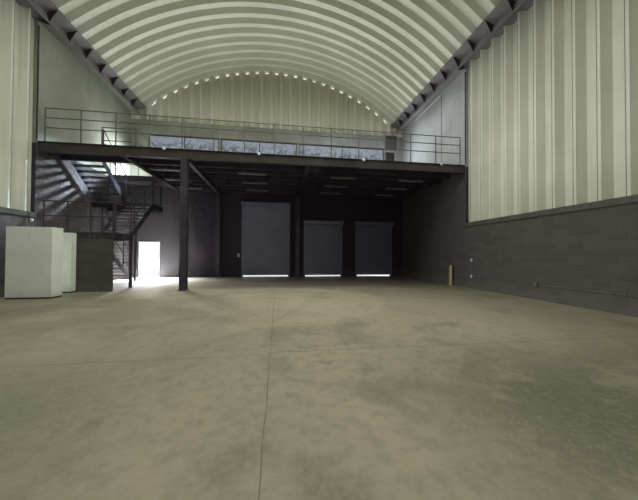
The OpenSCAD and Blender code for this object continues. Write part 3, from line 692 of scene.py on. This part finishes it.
def board(one_end, other_end, edge=0.002):
    """A box whose edges are cut off, as on any sawn or folded piece."""
    ends = [tuple(pick(pair) for pair in zip(one_end, other_end)) for pick in (min, max)]
    picks = [(i, j, k) for i in (0, 1) for j in (0, 1) for k in (0, 1)]
    points = [tuple(ends[pick[a]][a] + (0 if a == keep else edge * (1 - 2 * pick[a]))
                    for a in range(3)) for pick in picks for keep in range(3)]

    def corner(axis, here, one, other, keep):
        pick = [0, 0, 0]
        pick[axis], pick[(axis + 1) % 3], pick[(axis + 2) % 3] = here, one, other
        return picks.index(tuple(pick)) * 3 + keep

    faces = [(n * 3, n * 3 + 1, n * 3 + 2) for n in range(8)]
    around = ((0, 0), (1, 0), (1, 1), (0, 1))
    for axis in range(3):
        faces += [tuple(corner(axis, s, p, q, axis) for p, q in around) for s in (0, 1)]
        first, second = (axis + 1) % 3, (axis + 2) % 3
        faces += [(corner(axis, 0, p, q, first), corner(axis, 1, p, q, first),
                   corner(axis, 1, p, q, second), corner(axis, 0, p, q, second))
                  for p, q in around]
    return points, faces


def slanted_box(points):
    """A box from eight corners, in pairs: one below the other, near and far, at each end."""
    return points, [(0, 1, 3, 2), (4, 6, 7, 5), (0, 2, 6, 4), (1, 5, 7, 3), (0, 4, 5, 1),
                    (2, 3, 7, 6)]


def strip_of_rings(points):
    """A long strip from rings of four corners, closed at both ends."""
    last = len(points) - 4
    faces = [(a + k, a + (k + 1) % 4, a + 4 + (k + 1) % 4, a + 4 + k)
             for a in range(0, last, 4) for k in range(4)]
    return points, faces + [(0, 1, 2, 3), (last, last + 1, last + 2, last + 3)]


def rod(line, radius, sides=12):
    """A round bar along a line. A list of radii, one for each point, makes a turned shape."""
    line = [Vector(point) for point in line]
    radii = radius if isinstance(radius, (list, tuple)) else [radius] * len(line)
    points, faces, across = [], [], None
    for n, point in enumerate(line):
        way = (line[min(n + 1, len(line) - 1)] - line[max(n - 1, 0)]).normalized()
        across = way.orthogonal() if across is None else across - way * across.dot(way)
        across.normalize()
        other = way.cross(across)
        for step in range(sides):
            turn = 2 * math.pi * step / sides
            points.append(point + (across * math.cos(turn) + other * math.sin(turn)) * radii[n])
    for n in range(len(line) - 1):
        for step in range(sides):
            a, b = n * sides + step, n * sides + (step + 1) % sides
            faces.append((a, b, b + sides, a + sides))
    last = (len(line) - 1) * sides
    return points, faces + [tuple(range(sides)), tuple(range(last, last + sides))]


def bolt(foot, way, across=0.03):
    """A washer with a six-sided head on it, pointing along way."""
    foot, way = Vector(foot), Vector(way).normalized()
    thin = across * 0.12
    return [rod([foot, foot + way * thin], across * 0.85, 12),
            rod([foot + way * thin, foot + way * across * 0.7], across * 0.57, 6)]


def solids(node):
    """The boxes of the separate solids in one CAD node, lowest first."""
    work = bmesh.new()
    work.from_mesh(nodes[node].data)
    bmesh.ops.remove_doubles(work, verts=work.verts, dist=1e-5)
    left, boxes = set(work.verts), []
    while left:
        group, edge = set(), [left.pop()]
        while edge:
            vert = edge.pop()
            group.add(vert)
            near = {link.other_vert(vert) for link in vert.link_edges} & left
            left -= near
            edge += near
        boxes.append(tuple(Vector(pick(vert.co[a] for vert in group) for a in range(3))
                           for pick in (min, max)))
    work.free()
    return sorted(boxes, key=lambda box: (round(box[0].z, 3), round(box[0].x, 3), box[0].y))


# %% [markdown]
# ## Block faces
#
# A painted block wall still shows every block, because each face stands a few millimetres proud of
# its mortar. A picture of joints would look flat from the side, so every face is real: a low block
# with sloping edges. The faces are cut off at the openings, and they follow the same courses as the
# paint does.

# %% Lay the block faces
proud = 0.005
least = 0.03


def laid_faces(along, up, put_at, openings=()):
    shapes = []
    first = math.floor((up[0] - floor_z) / course_h)
    last = math.ceil((up[1] - floor_z) / course_h)
    for row in range(first, last):
        bottom = max(floor_z + row * course_h + joint_w / 2, up[0])
        head = min(floor_z + (row + 1) * course_h - joint_w / 2, up[1])
        if head - bottom < least:
            continue
        shift = (row % 2) / 2
        holes = [hole for hole in openings if hole[2] < head - 0.01 and hole[3] > bottom + 0.01]
        for n in range(math.floor(along[0] / block_l - shift),
                       math.ceil(along[1] / block_l - shift)):
            start = max((n + shift) * block_l + joint_w / 2, along[0])
            end = min((n + 1 + shift) * block_l - joint_w / 2, along[1])
            spans = [(start, end)]
            for hole in holes:
                spans = [part for a, b in spans
                         for part in ((a, min(b, hole[0])), (max(a, hole[1]), b))]
            shapes += [face_of_block(a, b, bottom, head, put_at) for a, b in spans
                       if b - a > least]
    return shapes


def face_of_block(start, end, bottom, head, put_at):
    corners = [(start, bottom), (end, bottom), (end, head), (start, head)]
    inner = [(start + proud, bottom + proud), (end - proud, bottom + proud),
             (end - proud, head - proud), (start + proud, head - proud)]
    points = [put_at(u, v, -proud) for u, v in corners] + [put_at(u, v, proud) for u, v in inner]
    sides = [(0, 1, 2, 3), (4, 5, 6, 7)]
    return points, sides + [(n, (n + 1) % 4, 4 + (n + 1) % 4, 4 + n) for n in range(4)]


def on_x(x, way):
    """For a wall face at x that looks up or down the X axis."""
    return lambda u, v, w: (x + way * w, u, v)


def on_y(y, way):
    return lambda u, v, w: (u, y + way * w, v)


def opening(low, high, spare=0.0):
    return low.x - spare, high.x + spare, 0, high.z


door_x, door_end, door_top = -8.08, -6.78, 2.29
back_holes = [(door_x, door_end, 0, door_top)]
back_holes += [opening(*box, spare=0.02) for box in solids("shutter_curtains")]
front_holes = [opening(*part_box("entrance_frame"))]
width, outer_width = (-wall_x, wall_x), (-outer_x, outer_x)
for name, turn in both_sides:
    inside, outside = on_x(turn * wall_x, -turn), on_x(turn * outer_x, turn)
    make(name + "_block_faces",
         laid_faces((-back_y, deck_edge_y), (floor_z, band_z), inside)
         + laid_faces((deck_edge_y, back_y), (floor_z, deck_low.z), inside)
         + laid_faces((-outer_y, outer_y), (0, block_top), outside), blocks)
make("back_block_faces",
     laid_faces(width, (floor_z, deck_low.z), on_y(back_y, -1), back_holes)
     + laid_faces(outer_width, (0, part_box("back_wall_lintels")[1].z), on_y(outer_y, 1), back_holes),
     back_blocks)
make("front_block_faces",
     laid_faces(width, (floor_z, band_z), on_y(-back_y, 1), front_holes)
     + laid_faces(outer_width, (0, block_top), on_y(-outer_y, -1), front_holes), blocks)
low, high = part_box("landing_block_wall")
make("landing_wall_block_faces",
     laid_faces((low.x, high.x), (floor_z, high.z), on_y(low.y, -1))
     + laid_faces((low.x, high.x), (floor_z, high.z), on_y(high.y, 1)), blocks)

# %% [markdown]
# ## Seams of the sheets
#
# The wall sheets hook into each other on one edge of each inner crest, and the hook shows as a thin
# dark line over the whole height. Its dark colour is partly dirt and partly the hook's shadow line,
# painted in. The roof sheets are closed outside, with a fin along each outer rib that follows the
# arch.

# %% Finish and shapes: seams
# Partly dirt, partly painted shade: the hooks' dark colour stands for their shadow line too.
hook_dirt_and_shade = steel_paint("seam_hook_dirt_shade", (0.20, 0.205, 0.15), (0.14, 0.145, 0.105),
                        (0.24, 0.24, 0.18))
seam_w = 0.012
first_crest_y, seams = 5.85, 29
for name, turn in both_sides:
    hooks = []
    for n in range(1, seams + 1):
        edge = first_crest_y - pitch * n + crest_w / 2
        hooks.append(board((turn * (panel_low.x + 0.004), edge - seam_w, block_top + 0.002),
                           (turn * (panel_low.x - 0.008), edge, panel_high.z - 0.05), 0.003))
    make(name + "_wall_seams", hooks, hook_dirt_and_shade)

roof_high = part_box("roof_sheets_1")[1]
outer_r = roof_high.z - arch_axis_z
arch_half = math.asin(roof_high.x / outer_r) - 0.004
arch_steps = 72
fin_w, fin_h, fin_root = 0.008, 0.03, 0.004
first_fin_y, fin_count = -12.505, 42
fins = []
for fin in range(fin_count):
    y = first_fin_y + pitch * fin
    points = []
    for n in range(arch_steps + 1):
        turn = -arch_half + 2 * arch_half * n / arch_steps
        for rise, side in ((-fin_root, -1), (-fin_root, 1), (fin_h, 1), (fin_h, -1)):
            points.append(((outer_r + rise) * math.sin(turn), y + side * fin_w / 2,
                           arch_axis_z + (outer_r + rise) * math.cos(turn)))
    fins.append(strip_of_rings(points))
make("roof_seam_fins", fins, roof_side_shaded_cream, smooth=True)
print("arch radius outside", round(outer_r, 3), "half angle", round(math.degrees(arch_half), 1))

# %% [markdown]
# ## Fixings on the steelwork
#
# Steel frames are bolted. Bolt heads sit in rows on the springing beams and on the feet of the
# columns. A turned washer and a six-sided head are enough at this size, and each row is one piece.

# %% Finish and shapes: bolts
bolt_grey = steel_paint("bolt_zinc", (0.26, 0.255, 0.25), (0.17, 0.165, 0.16),
                        (0.32, 0.31, 0.28), 0.35)
foot_plate_t = 0.025
inset = 0.04
feet = []
for low, high in solids("mezzanine_columns"):
    if low.z < floor_z + 0.01:
        for x in (low.x + inset, high.x - inset):
            for y in (low.y + inset, high.y - inset):
                feet += bolt((x, y, floor_z + foot_plate_t), (0, 0, 1))
make("column_foot_bolts", feet, bolt_grey)

brace_y, brace_pitch, braces = 11.26, 0.965, 25
web_x, web_z, web_lean = 8.0, 9.85, 0.145
web_bolts = []
for _, turn in both_sides:
    for n in range(braces):
        for z in (9.97, 10.22):
            x = web_x + (z - web_z) * web_lean + 0.004
            web_bolts += bolt((turn * x, brace_y - brace_pitch * n + 0.07, z), (-turn, 0, web_lean))
make("springing_beam_bolts", web_bolts, bolt_grey)

# %% [markdown]
# ## Sealing strips under the springing beams
#
# Beside the mezzanine the roof beam stands off the plain wall. A folded strip closes the gap
# between the foot of the beam's web and the wall, in the paint of the wall. Its folds are hidden,
# so one slanted box on each side is enough. A dark edge covers the end of the wall sheets, where
# the plain wall starts.

# %% Strips
strip_t = 0.012
web_foot, wall_line = (8.02, 9.862), (wall_x, 10.0)
make("sealing_strips", [
    slanted_box([(turn * x, y, z + lift) for y in (deck_edge_y + 0.01, back_y)
                 for x, z in (web_foot, wall_line) for lift in (0, strip_t)])
    for _, turn in both_sides], render)
make("sheet_end_trims", [
    board((turn * (wall_x - 0.05), deck_edge_y - 0.012, deck_z + 0.02),
          (turn * (wall_x + 0.002), deck_edge_y, 9.84), 0.003)
    for _, turn in both_sides], deck_edge)

# %% [markdown]
# ## Daylight fillers
#
# Where the gable sheets meet the roof, each outer rib is closed with a pale filler that lets
# daylight through. They show as a row of bright marks under the arch. Twenty-five lamps would be
# slow, so the fillers glow a little themselves. Each is fitted to its rib, which is found from the
# top corners of the gable's mesh.

# %% Fillers
daylight, tree, shader = finish("daylight_filler", 0.6)
glow = tint(tree, spots(tree, 7, 0.3, 0.7), (0.95, 1.0, 0.92), (0.45, 0.47, 0.42))
tree.links.new(glow, shader["Base Color"])
tree.links.new(glow, shader["Emission Color"])
shader["Emission Strength"].default_value = 1.0
gable_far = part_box("back_gable_panels")[1].y
rib_tops = {}
for vert in nodes["back_gable_panels"].data.vertices:
    if vert.co.y > gable_far - 0.02:
        spot = round(vert.co.x, 2)
        rib_tops[spot] = max(rib_tops.get(spot, 0), vert.co.z)
ribs = []
for x in sorted(rib_tops):
    if not ribs or x - ribs[-1][-1] > 0.15:
        ribs.append([])
    ribs[-1].append(x)
last_rib_x = 7.6
fillers = [slanted_box([(x, gable_far - behind, rib_tops[edge] - under)
                        for x, edge in ((rib[0] + 0.03, rib[0]), (rib[-1] - 0.03, rib[-1]))
                        for behind in (0.008, 0.03) for under in (0.09, 0.012)])
           for rib in ribs if len(rib) > 1 and abs(rib[0]) < last_rib_x]
make("daylight_fillers", fillers, daylight)

# %% [markdown]
# ## Window bars, tread nosings and cabinet trims
#
# The strip window has a steel frame with a bar every two metres or so. The treads of the stair end
# in a strip that wear has taken down to the bare steel, and its light colour is also a painted
# highlight of the window's light on the nosings. The cabinet and the locker have folded edges and a
# dark foot. All of them are boards that take their places from the solids that they sit on.

# %% Window bars
bar_spacing, half_bar = 2.4, 0.02
bars = []
for low, high in solids("back_window_glass"):
    panes = max(1, round((high.x - low.x) / bar_spacing))
    near, far = low.y - 0.025, high.y + 0.025
    for n in range(panes + 1):
        x = low.x + half_bar + (high.x - low.x - 2 * half_bar) * n / panes
        bars.append(board((x - half_bar, near, low.z), (x + half_bar, far, high.z), 0.003))
    for z in (low.z + 0.02, high.z - 0.05):
        bars.append(board((low.x, near + 0.004, z - 0.03), (high.x, far - 0.004, z + 0.04), 0.003))
make("window_bars", bars, deck_edge)

# %% Tread nosings
# Partly wear, partly painted highlight: the light colour of the nosings.
bare_steel_and_highlight = steel_paint("bare_steel_and_highlight", (0.20, 0.195, 0.19), (0.12, 0.115, 0.115),
                         (0.30, 0.29, 0.27), 0.35)
nosing_w, end_gap = 0.03, 0.02
nosings = []
for low, high in solids("stair_treads"):
    bottom, top = high.z - 0.012, high.z + 0.003
    if high.x - low.x > high.y - low.y:
        x0, x1 = low.x + end_gap, high.x - end_gap
        nosings += [board((x0, edge - way * 0.002, bottom), (x1, edge + way * nosing_w, top), 0.001)
                    for edge, way in ((low.y, 1), (high.y, -1))]
    else:
        y0, y1 = low.y + end_gap, high.y - end_gap
        nosings += [board((edge - way * 0.002, y0, bottom), (edge + way * nosing_w, y1, top), 0.001)
                    for edge, way in ((low.x, 1), (high.x, -1))]
make("tread_nosings", nosings, bare_steel_and_highlight)

# %% Cabinet trims
fold_w, plinth_h = 0.022, 0.05
trims, plinths = [], []
for node in ("white_cabinet", "white_locker"):
    low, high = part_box(node)
    for x0, x1 in ((low.x - 0.003, low.x + fold_w), (high.x - fold_w, high.x + 0.003)):
        for y0, y1 in ((low.y - 0.003, low.y + fold_w), (high.y - fold_w, high.y + 0.003)):
            trims.append(board((x0, y0, low.z + plinth_h), (x1, y1, high.z), 0.0015))
    trims.append(board((low.x - 0.004, low.y - 0.004, high.z - 0.02),
                       (high.x + 0.004, high.y + 0.004, high.z + 0.003), 0.0015))
    plinths.append(board((low.x - 0.002, low.y - 0.002, low.z),
                         (high.x + 0.002, high.y + 0.002, low.z + plinth_h), 0.001))
make("cabinet_trims", trims, cabinet_white)
make("cabinet_plinths", plinths, deck_edge)

# %% [markdown]
# ## Feet of the deck rail
#
# Each post of the rail stands on a small plate that is bolted to the deck's edge. The plate spreads
# the push on the rail.

# %% Rail feet
first_post_x, post_pitch, posts = -8.26, 1.18, 15
rail_y = 5.725
plate_top = deck_z + 0.008
plates = []
for n in range(posts):
    x = first_post_x + post_pitch * n
    plates.append(board((x - 0.05, rail_y - 0.045, deck_z), (x + 0.05, rail_y + 0.045, plate_top)))
    for dx in (-0.036, 0.036):
        for dy in (-0.033, 0.033):
            plates += bolt((x + dx, rail_y + dy, plate_top), (0, 0, 1), 0.013)
make("deck_rail_feet", plates, rail_grey)

# %% [markdown]
# ## Lamps
#
# Small white bulkhead lamps sit on the deck's edge, and one more at the corner of the left wall.
# Each is a turned body with a domed cover. The long lamps under the deck hold two thin tubes each.

# %% Finish: opal cover
opal, tree, shader = finish("opal_cover", 0.3)
rubbed = spots(tree, 30, 0.3, 0.8)
tree.links.new(tint(tree, rubbed, (0.62, 0.62, 0.60), (0.50, 0.50, 0.48)), shader["Base Color"])

# %% Bulkhead lamps and tubes
def bulkhead(centre, way):
    centre, way = Vector(centre), Vector(way)
    steps = ((0, 0.058), (0.012, 0.062), (0.03, 0.062), (0.034, 0.054), (0.05, 0.05),
             (0.064, 0.038), (0.071, 0.018), (0.073, 0.004))
    return rod([centre + way * far for far, _ in steps], [wide for _, wide in steps], 24)


edge_lamps = [bulkhead((x, deck_edge_y + 0.004, 5.60), (0, -1, 0))
              for x in (-4.18, -0.61, 3.76, 7.32)]
edge_lamps.append(bulkhead((-wall_x + 0.004, 5.52, 2.74), (1, 0, 0)))
make("edge_lamps", edge_lamps, opal, smooth=True)

tube_r, cap_r, cap_l = 0.013, 0.009, 0.004
tubes = []
for low, high in solids("light_fixtures"):
    if high.x - low.x > 0.8:
        x0, x1 = low.x + 0.03, high.x - 0.03
        for share in (0.28, 0.72):
            y = low.y * (1 - share) + high.y * share
            tubes.append(rod([(x, y, low.z + 0.004) for x in (x0, x0 + cap_l, x1 - cap_l, x1)],
                             [cap_r, tube_r, tube_r, cap_r]))
make("lamp_tubes", tubes, enamel, smooth=True)

# %% [markdown]
# ## Conduit, switch boxes and posts on the right wall
#
# A steel conduit runs low along the block wall with a saddle every metre or so, and joins two small
# boxes at the deck's corner. Another climbs the plain wall, and a slim lamp channel follows the
# springing beam from its top. In the corner stands a cream post with a thin brown pipe beside it.
# The round ones are rods, because a curve would have to be turned into a mesh anyway.

# %% Conduit and boxes
wall_in = wall_x - proud
low_z, riser_y, box_y = 0.66, 7.55, 5.27


def conduit(*points):
    return rod(points, 0.012, 10)


def saddle(wall, y0, y1, z0, z1):
    return board((wall - 0.028, y0, z0), (wall + 0.002, y1, z1), 0.004)


x = wall_x - 0.013
upper_pipes = [conduit((x, riser_y, deck_z), (x, riser_y, 9.86))]
for z in (6.2, 7.4, 8.6):
    upper_pipes.append(saddle(wall_x, riser_y - 0.04, riser_y + 0.04, z, z + 0.024))
make("upper_conduit", upper_pipes, render, smooth=True)

x = wall_in - 0.013
pipes = [conduit((x, -11.9, low_z - 0.02), (x, 2.2, low_z - 0.02), (x, box_y, low_z),
                 (x, 6.45, low_z)),
         conduit((x, box_y, low_z), (x, box_y, 1.40)),
         conduit((x, riser_y, 1.0), (x, riser_y, deck_low.z))]
for y in [-11.4 + 1.25 * n for n in range(13)]:
    pipes.append(saddle(wall_in, y - 0.012, y + 0.012, low_z - 0.05, low_z + 0.02))
for z in (1.4, 2.6, 3.8, 5.0):
    pipes.append(saddle(wall_in, riser_y - 0.04, riser_y + 0.04, z, z + 0.024))
pipes.append(board((wall_in - 0.06, 2.16, low_z - 0.08), (wall_in + 0.002, 2.30, low_z + 0.05),
                   0.005))
make("wall_conduit", pipes, rail_grey, smooth=True)

switch_boxes = []
for turn, y in ((1, box_y), (-1, 4.75)):
    for z in (low_z, 1.37):
        back_x, lid_x, key_x = (turn * (wall_in + out) for out in (0.002, -0.05, -0.055))
        switch_boxes += [board((back_x, y - 0.04, z - 0.06), (lid_x, y + 0.04, z + 0.06), 0.006),
                         board((lid_x, y - 0.015, z - 0.025), (key_x, y + 0.015, z + 0.025))]
make("switch_boxes", switch_boxes, opal)

# %% The lamp channel and the corner posts
make("lamp_channel", [board((wall_x - 0.035, 7.67, 9.852), (wall_x + 0.002, 10.37, 9.876), 0.004)],
     opal)

post_paint = steel_paint("post_cream_paint", (0.52, 0.46, 0.31), (0.40, 0.35, 0.23),
                         (0.28, 0.24, 0.16), 0.5)
brown_paint = steel_paint("post_brown_paint", (0.20, 0.14, 0.07), (0.12, 0.085, 0.045),
                          (0.25, 0.20, 0.13), 0.5)
x, y = 8.36, 6.565
cream_post = rod([(x, y, floor_z + rise) for rise in (0, 0.90, 0.925, 0.935)],
                 [0.055, 0.055, 0.04, 0.01], 20)
post_plate = board((x - 0.09, y - 0.09, floor_z), (x + 0.09, y + 0.09, floor_z + 0.012), 0.003)
make("corner_post", [cream_post, post_plate], post_paint, smooth=True)
brown_pipe = rod([(8.44, 6.86, floor_z), (8.44, 6.86, floor_z + 0.80)], 0.03, 14)
make("corner_pipe", [brown_pipe], brown_paint, smooth=True)

# %% [markdown]
# ## Joints in the floor
#
# A concrete floor is cast in bays, and the joints between them are sawn and filled with dark
# sealer. The long joint runs up the middle of the hall, and cross joints meet it from both sides.
# The sealer wanders a little, so the strips are made of short lengths whose edges move by a few
# millimetres. Sine waves do that, and come out the same each time.

# %% Lay the sealer
sealer = steel_paint("joint_sealer", (0.15, 0.143, 0.105), (0.10, 0.095, 0.072),
                     (0.19, 0.18, 0.135), 0.7)


def sealer_strip(start, end, wide):
    start, end = Vector(start), Vector(end)
    way = (end - start).normalized()
    aside = Vector((-way.y, way.x))
    steps = max(2, int((end - start).length / 0.12))
    points = []
    for n in range(steps + 1):
        spot = start.lerp(end, n / steps)
        wander = 0.004 * math.sin(n * 0.9) + 0.003 * math.sin(n * 0.37 + 1.3)
        half_w = wide / 2 * (1 + 0.35 * math.sin(n * 1.7) * math.sin(n * 0.23))
        for shift, z in ((wander - half_w, -0.003), (wander + half_w, -0.003),
                         (wander + half_w * 0.8, 0.0012), (wander - half_w * 0.8, 0.0012)):
            points.append((*(spot + aside * shift), floor_z + z))
    return strip_of_rings(points)


middle_x, side_x = 0.08, 8.45
joints = [sealer_strip((middle_x, -12.1), (middle_x, 5.6), 0.010)]
joints += [sealer_strip((middle_x, y), (side_x, y), 0.007) for y in (-1.62, -6.6, 3.4, -11.5)]
joints += [sealer_strip((-side_x, y), (middle_x, y), 0.004) for y in (-1.70, -6.6, 3.4)]
make("floor_joints", joints, sealer)

# %% [markdown]
# ## Roller shutters: bottom bars, handles and brackets
#
# The last slat of a roller shutter hooks into a stiff bottom bar. It has a rubber lip, a lifting
# handle on each side and a bolt keep in the middle. The drum above hangs between two end plates.

# %% Shutter fittings
bar_paint = steel_paint("bottom_bar_paint", (0.22, 0.23, 0.25), (0.15, 0.155, 0.17),
                        (0.30, 0.29, 0.27), 0.4)
rubber = steel_paint("rubber_lip", (0.03, 0.03, 0.03), (0.02, 0.02, 0.02), (0.10, 0.10, 0.09),
                     0.8)
handle = ((-0.07, 0.028), (-0.07, 0.062), (-0.055, 0.07), (0.055, 0.07), (0.07, 0.062),
          (0.07, 0.028))
bars, lips = [], []
for low, high in solids("shutter_curtains"):
    if high.z - low.z < 2:
        continue
    y, z, centre, wide = low.y, low.z, (low.x + high.x) / 2, high.x - low.x
    bars.append(board((low.x + 0.03, y - 0.03, z), (high.x - 0.03, y + 0.004, z + 0.07), 0.006))
    lips.append(board((low.x + 0.04, y - 0.02, z - 0.02), (high.x - 0.04, y - 0.006, z + 0.004)))
    for x in (low.x + wide * 0.2, high.x - wide * 0.2):
        bars.append(rod([(x + aside, y - out, z + 0.035) for aside, out in handle], 0.007, 8))
    bars.append(board((centre - 0.05, y - 0.042, z + 0.02), (centre + 0.05, y - 0.028, z + 0.055)))
make("shutter_bottom_bars", bars, bar_paint, smooth=True)
make("shutter_lips", lips, rubber)

plate_t = 0.012
end_plates = []
for low, high in solids("shutter_hoods"):
    middle = (low + high) / 2
    for x, way in ((low.x, -1), (high.x, 1)):
        end_plates.append(board((x, low.y - 0.01, low.z - 0.02),
                                (x + way * plate_t, high.y - 0.002, high.z + 0.01), 0.003))
        end_plates += bolt((x + way * plate_t, middle.y, middle.z), (way, 0, 0), 0.04)
make("shutter_end_plates", end_plates, bar_paint)

push_box = [board((-2.30, back_y - 0.07, 1.38), (-2.18, back_y - 0.003, 1.60), 0.006)]
push_box += [board((-2.265, back_y - 0.078, z), (-2.215, back_y - 0.068, z + 0.04), 0.004)
             for z in (1.53, 1.47, 1.41)]
make("shutter_push_box", push_box, opal)

# %% [markdown]
# ## The end of the strip window
#
# Beside the right end of the strip window hangs a flat dark steel panel with light edges. It stands
# for the wall pier there in shade, so its dark colour is painted shade. Below it hangs a shallow
# dark box in a white frame.

# %% End panel and box
def on_wall(x0, x1, z0, z1, deep, edge=0.002):
    return board((x0, back_y - deep, z0), (x1, back_y + 0.002, z1), edge)


# Painted shade: a dark panel where the wall pier is in shade.
make("window_end_shade_panel", [on_wall(7.26, 8.15, 8.63, 9.60, 0.02, 0.003)], rail_grey)
make("window_end_box", [on_wall(7.27, 7.95, 7.85, 8.50, 0.05, 0.003)], deck_edge)
trims = [on_wall(x - 0.015, x + 0.015, 8.63, 9.60, 0.03) for x in (7.27, 8.14)]
trims += [on_wall(x - 0.02, x + 0.02, 7.84, 8.51, 0.06) for x in (7.27, 7.95)]
trims += [on_wall(7.25, 7.97, z - 0.02, z + 0.02, 0.06) for z in (7.85, 8.50)]
make("window_end_trims", trims, opal)

# %% [markdown]
# ## The open doorway
#
# The doorway has no leaf, only a folded steel frame. Its jambs wrap the edge of the wall, and the
# head joins them. Outside, the frame stops at the same height.

# %% Door frame
frame_out, lap = 0.012, 0.03
near, far = back_y - frame_out, outer_y + frame_out
frame_parts = [board((x - way * lap, near, floor_z), (x + way * 0.016, far, door_top + lap), 0.004)
               for x, way in ((door_x, 1), (door_end, -1))]
frame_parts.append(board((door_x - lap, near, door_top - 0.016),
                         (door_end + lap, far, door_top + lap), 0.004))
make("door_frame", frame_parts, stair_dark)

# %% [markdown]
# ## Floor, world and lamps
#
# The hall stands on a plain pale floor under a plain sky. The sky that lights the hall is a soft
# grey, but the camera, mirrors and glass see it as white: the Light Path node tells these rays
# apart. The ground glows a little for the camera alone, so that it stays pale without more light on
# the hall.

# %% The ground and the world
def ground(half_size, z):
    mesh = bpy.data.meshes.new("pale_ground")
    mesh.from_pydata([(x * half_size, y * half_size, z)
                      for x, y in ((-1, -1), (1, -1), (1, 1), (-1, 1))], [], [(0, 1, 2, 3)])
    plane = bpy.data.objects.new("pale_ground", mesh)
    bpy.context.scene.collection.objects.link(plane)
    material, tree, shader = finish("pale_ground", 0.9, specular=0.1)
    shader["Base Color"].default_value = (0.85, 0.85, 0.84, 1)
    seen = put(tree, "LightPath").outputs["Is Camera Ray"]
    tree.links.new(tint(tree, seen, (0, 0, 0), (1, 1, 1)), shader["Emission Color"])
    shader["Emission Strength"].default_value = 0.4
    mesh.materials.append(material)


def sky(light_strength):
    world = bpy.data.worlds.new("plain_sky")
    bpy.context.scene.world = world
    world.use_nodes = True
    tree = world.node_tree
    tree.nodes.clear()
    rays = put(tree, "LightPath").outputs
    seen = calc(tree, "MAXIMUM", rays["Is Camera Ray"],
                calc(tree, "MAXIMUM", rays["Is Glossy Ray"], rays["Is Transmission Ray"]))
    lighting = put(tree, "Background", {"Color": (0.94, 0.97, 1.0, 1), "Strength": light_strength})
    white = put(tree, "Background", {"Color": (1, 1, 1, 1), "Strength": 1.0})
    mixed = put(tree, "MixShader", {"Fac": seen})
    tree.links.new(lighting.outputs[0], mixed.inputs[1])
    tree.links.new(white.outputs[0], mixed.inputs[2])
    way_out = tree.nodes.new("ShaderNodeOutputWorld")
    tree.links.new(mixed.outputs[0], way_out.inputs["Surface"])


ground(half_size=90, z=-0.002)
sky(0.75)
print("ground and sky are in")

# %% [markdown]
# Most of the light in the hall is soft and comes from above and from behind the camera, where the
# big entrance is. So wide lamps hang under the roof, two shine up at it as the light from the floor
# and the window does, and smaller ones stand for the doorway, the ends of the window and the light
# that falls through the stair's opening. They are area lamps, which give soft shadows, and the
# camera doesn't see them. A narrow spread keeps a lamp to one place. A weak sun gives the outside
# of the hall a soft shadow.

# %% Lamps
def soft_lamp(name, centre, target, width, depth, watts, colour=(1, 1, 1), glossy=False,
              spread=180):
    data = bpy.data.lights.new(name, "AREA")
    data.shape = "RECTANGLE"
    data.size = width
    data.size_y = depth
    data.energy = watts
    data.color = colour
    data.spread = math.radians(spread)
    lamp = bpy.data.objects.new(name, data)
    centre, target = Vector(centre), Vector(target)
    lamp.location = centre
    lamp.rotation_euler = (target - centre).to_track_quat("-Z", "Y").to_euler()
    lamp.visible_camera = False
    lamp.visible_glossy = glossy
    bpy.context.scene.collection.objects.link(lamp)
    print("lamp", name, watts, "W")


warm = (1.0, 0.985, 0.93)
cool = (0.86, 0.93, 1.0)
cold = (0.78, 0.88, 1.0)
blue = (0.60, 0.79, 1.0)
pale = (0.96, 0.97, 1)
soft_lamp("over_hall", (0, 1.0, 9.8), (0, 1.0, 0), 8, 7, 565, warm)
soft_lamp("over_front", (0, -7.5, 9.8), (0, -7.5, 0), 10, 5, 110, warm)
soft_lamp("far_floor", (0, 3.0, 9.8), (0, 3.0, 0), 6, 4, 140, warm, spread=80)
soft_lamp("deck_bounce", (0, 10.2, 6.3), (0, 8.6, 13), 13, 2, 110)
soft_lamp("window_bounce", (0, 11.6, 6.3), (0, 1.6, 13), 13, 1, 262, spread=130)
soft_lamp("left_wall_wash", (2, -1, 6.2), (-8.5, -1, 5.9), 16, 3, 160, warm, spread=100)
soft_lamp("right_wall_far", (3.5, 4.2, 6.6), (8.5, 4.4, 7.0), 4, 4, 48, spread=140)
soft_lamp("over_deck_right", (5.0, 8.8, 9.6), (5.0, 8.8, 0), 5, 4, 140, cold)
soft_lamp("doorway_light", (-7.43, back_y + 0.1, 1.22), (-6.2, 10.0, 0.2), 1.15, 2.0, 1300, pale,
          spread=115)
soft_lamp("stairwell_light", (-5.0, 11.8, 6.9), (-8.5, 6.9, 3.9), 0.6, 0.35, 260, blue, spread=40)
soft_lamp("window_end_left", (-6.6, 11.2, 6.6), (-8.5, 10.7, 6.1), 1.0, 0.8, 165, cool, spread=110)
soft_lamp("window_end_right", (6.4, 11.2, 7.0), (8.5, 9.4, 7.0), 1.2, 1.6, 60, cold, spread=150)
soft_lamp("window_light", (0, back_y - 0.15, 7.7), (0, 0, 5.5), 14, 1.4, 40, cool, glossy=True)
soft_lamp("low_fill", (0, -8.0, 1.2), (0, 10, 1.6), 12, 1.6, 130)

sun_data = bpy.data.lights.new("soft_sun", "SUN")
sun_data.energy = 1.6
sun_data.angle = math.radians(12)
sun = bpy.data.objects.new("soft_sun", sun_data)
sun.rotation_euler = Vector((-0.55, 0.75, -0.9)).to_track_quat("-Z", "Y").to_euler()
bpy.context.scene.collection.objects.link(sun)
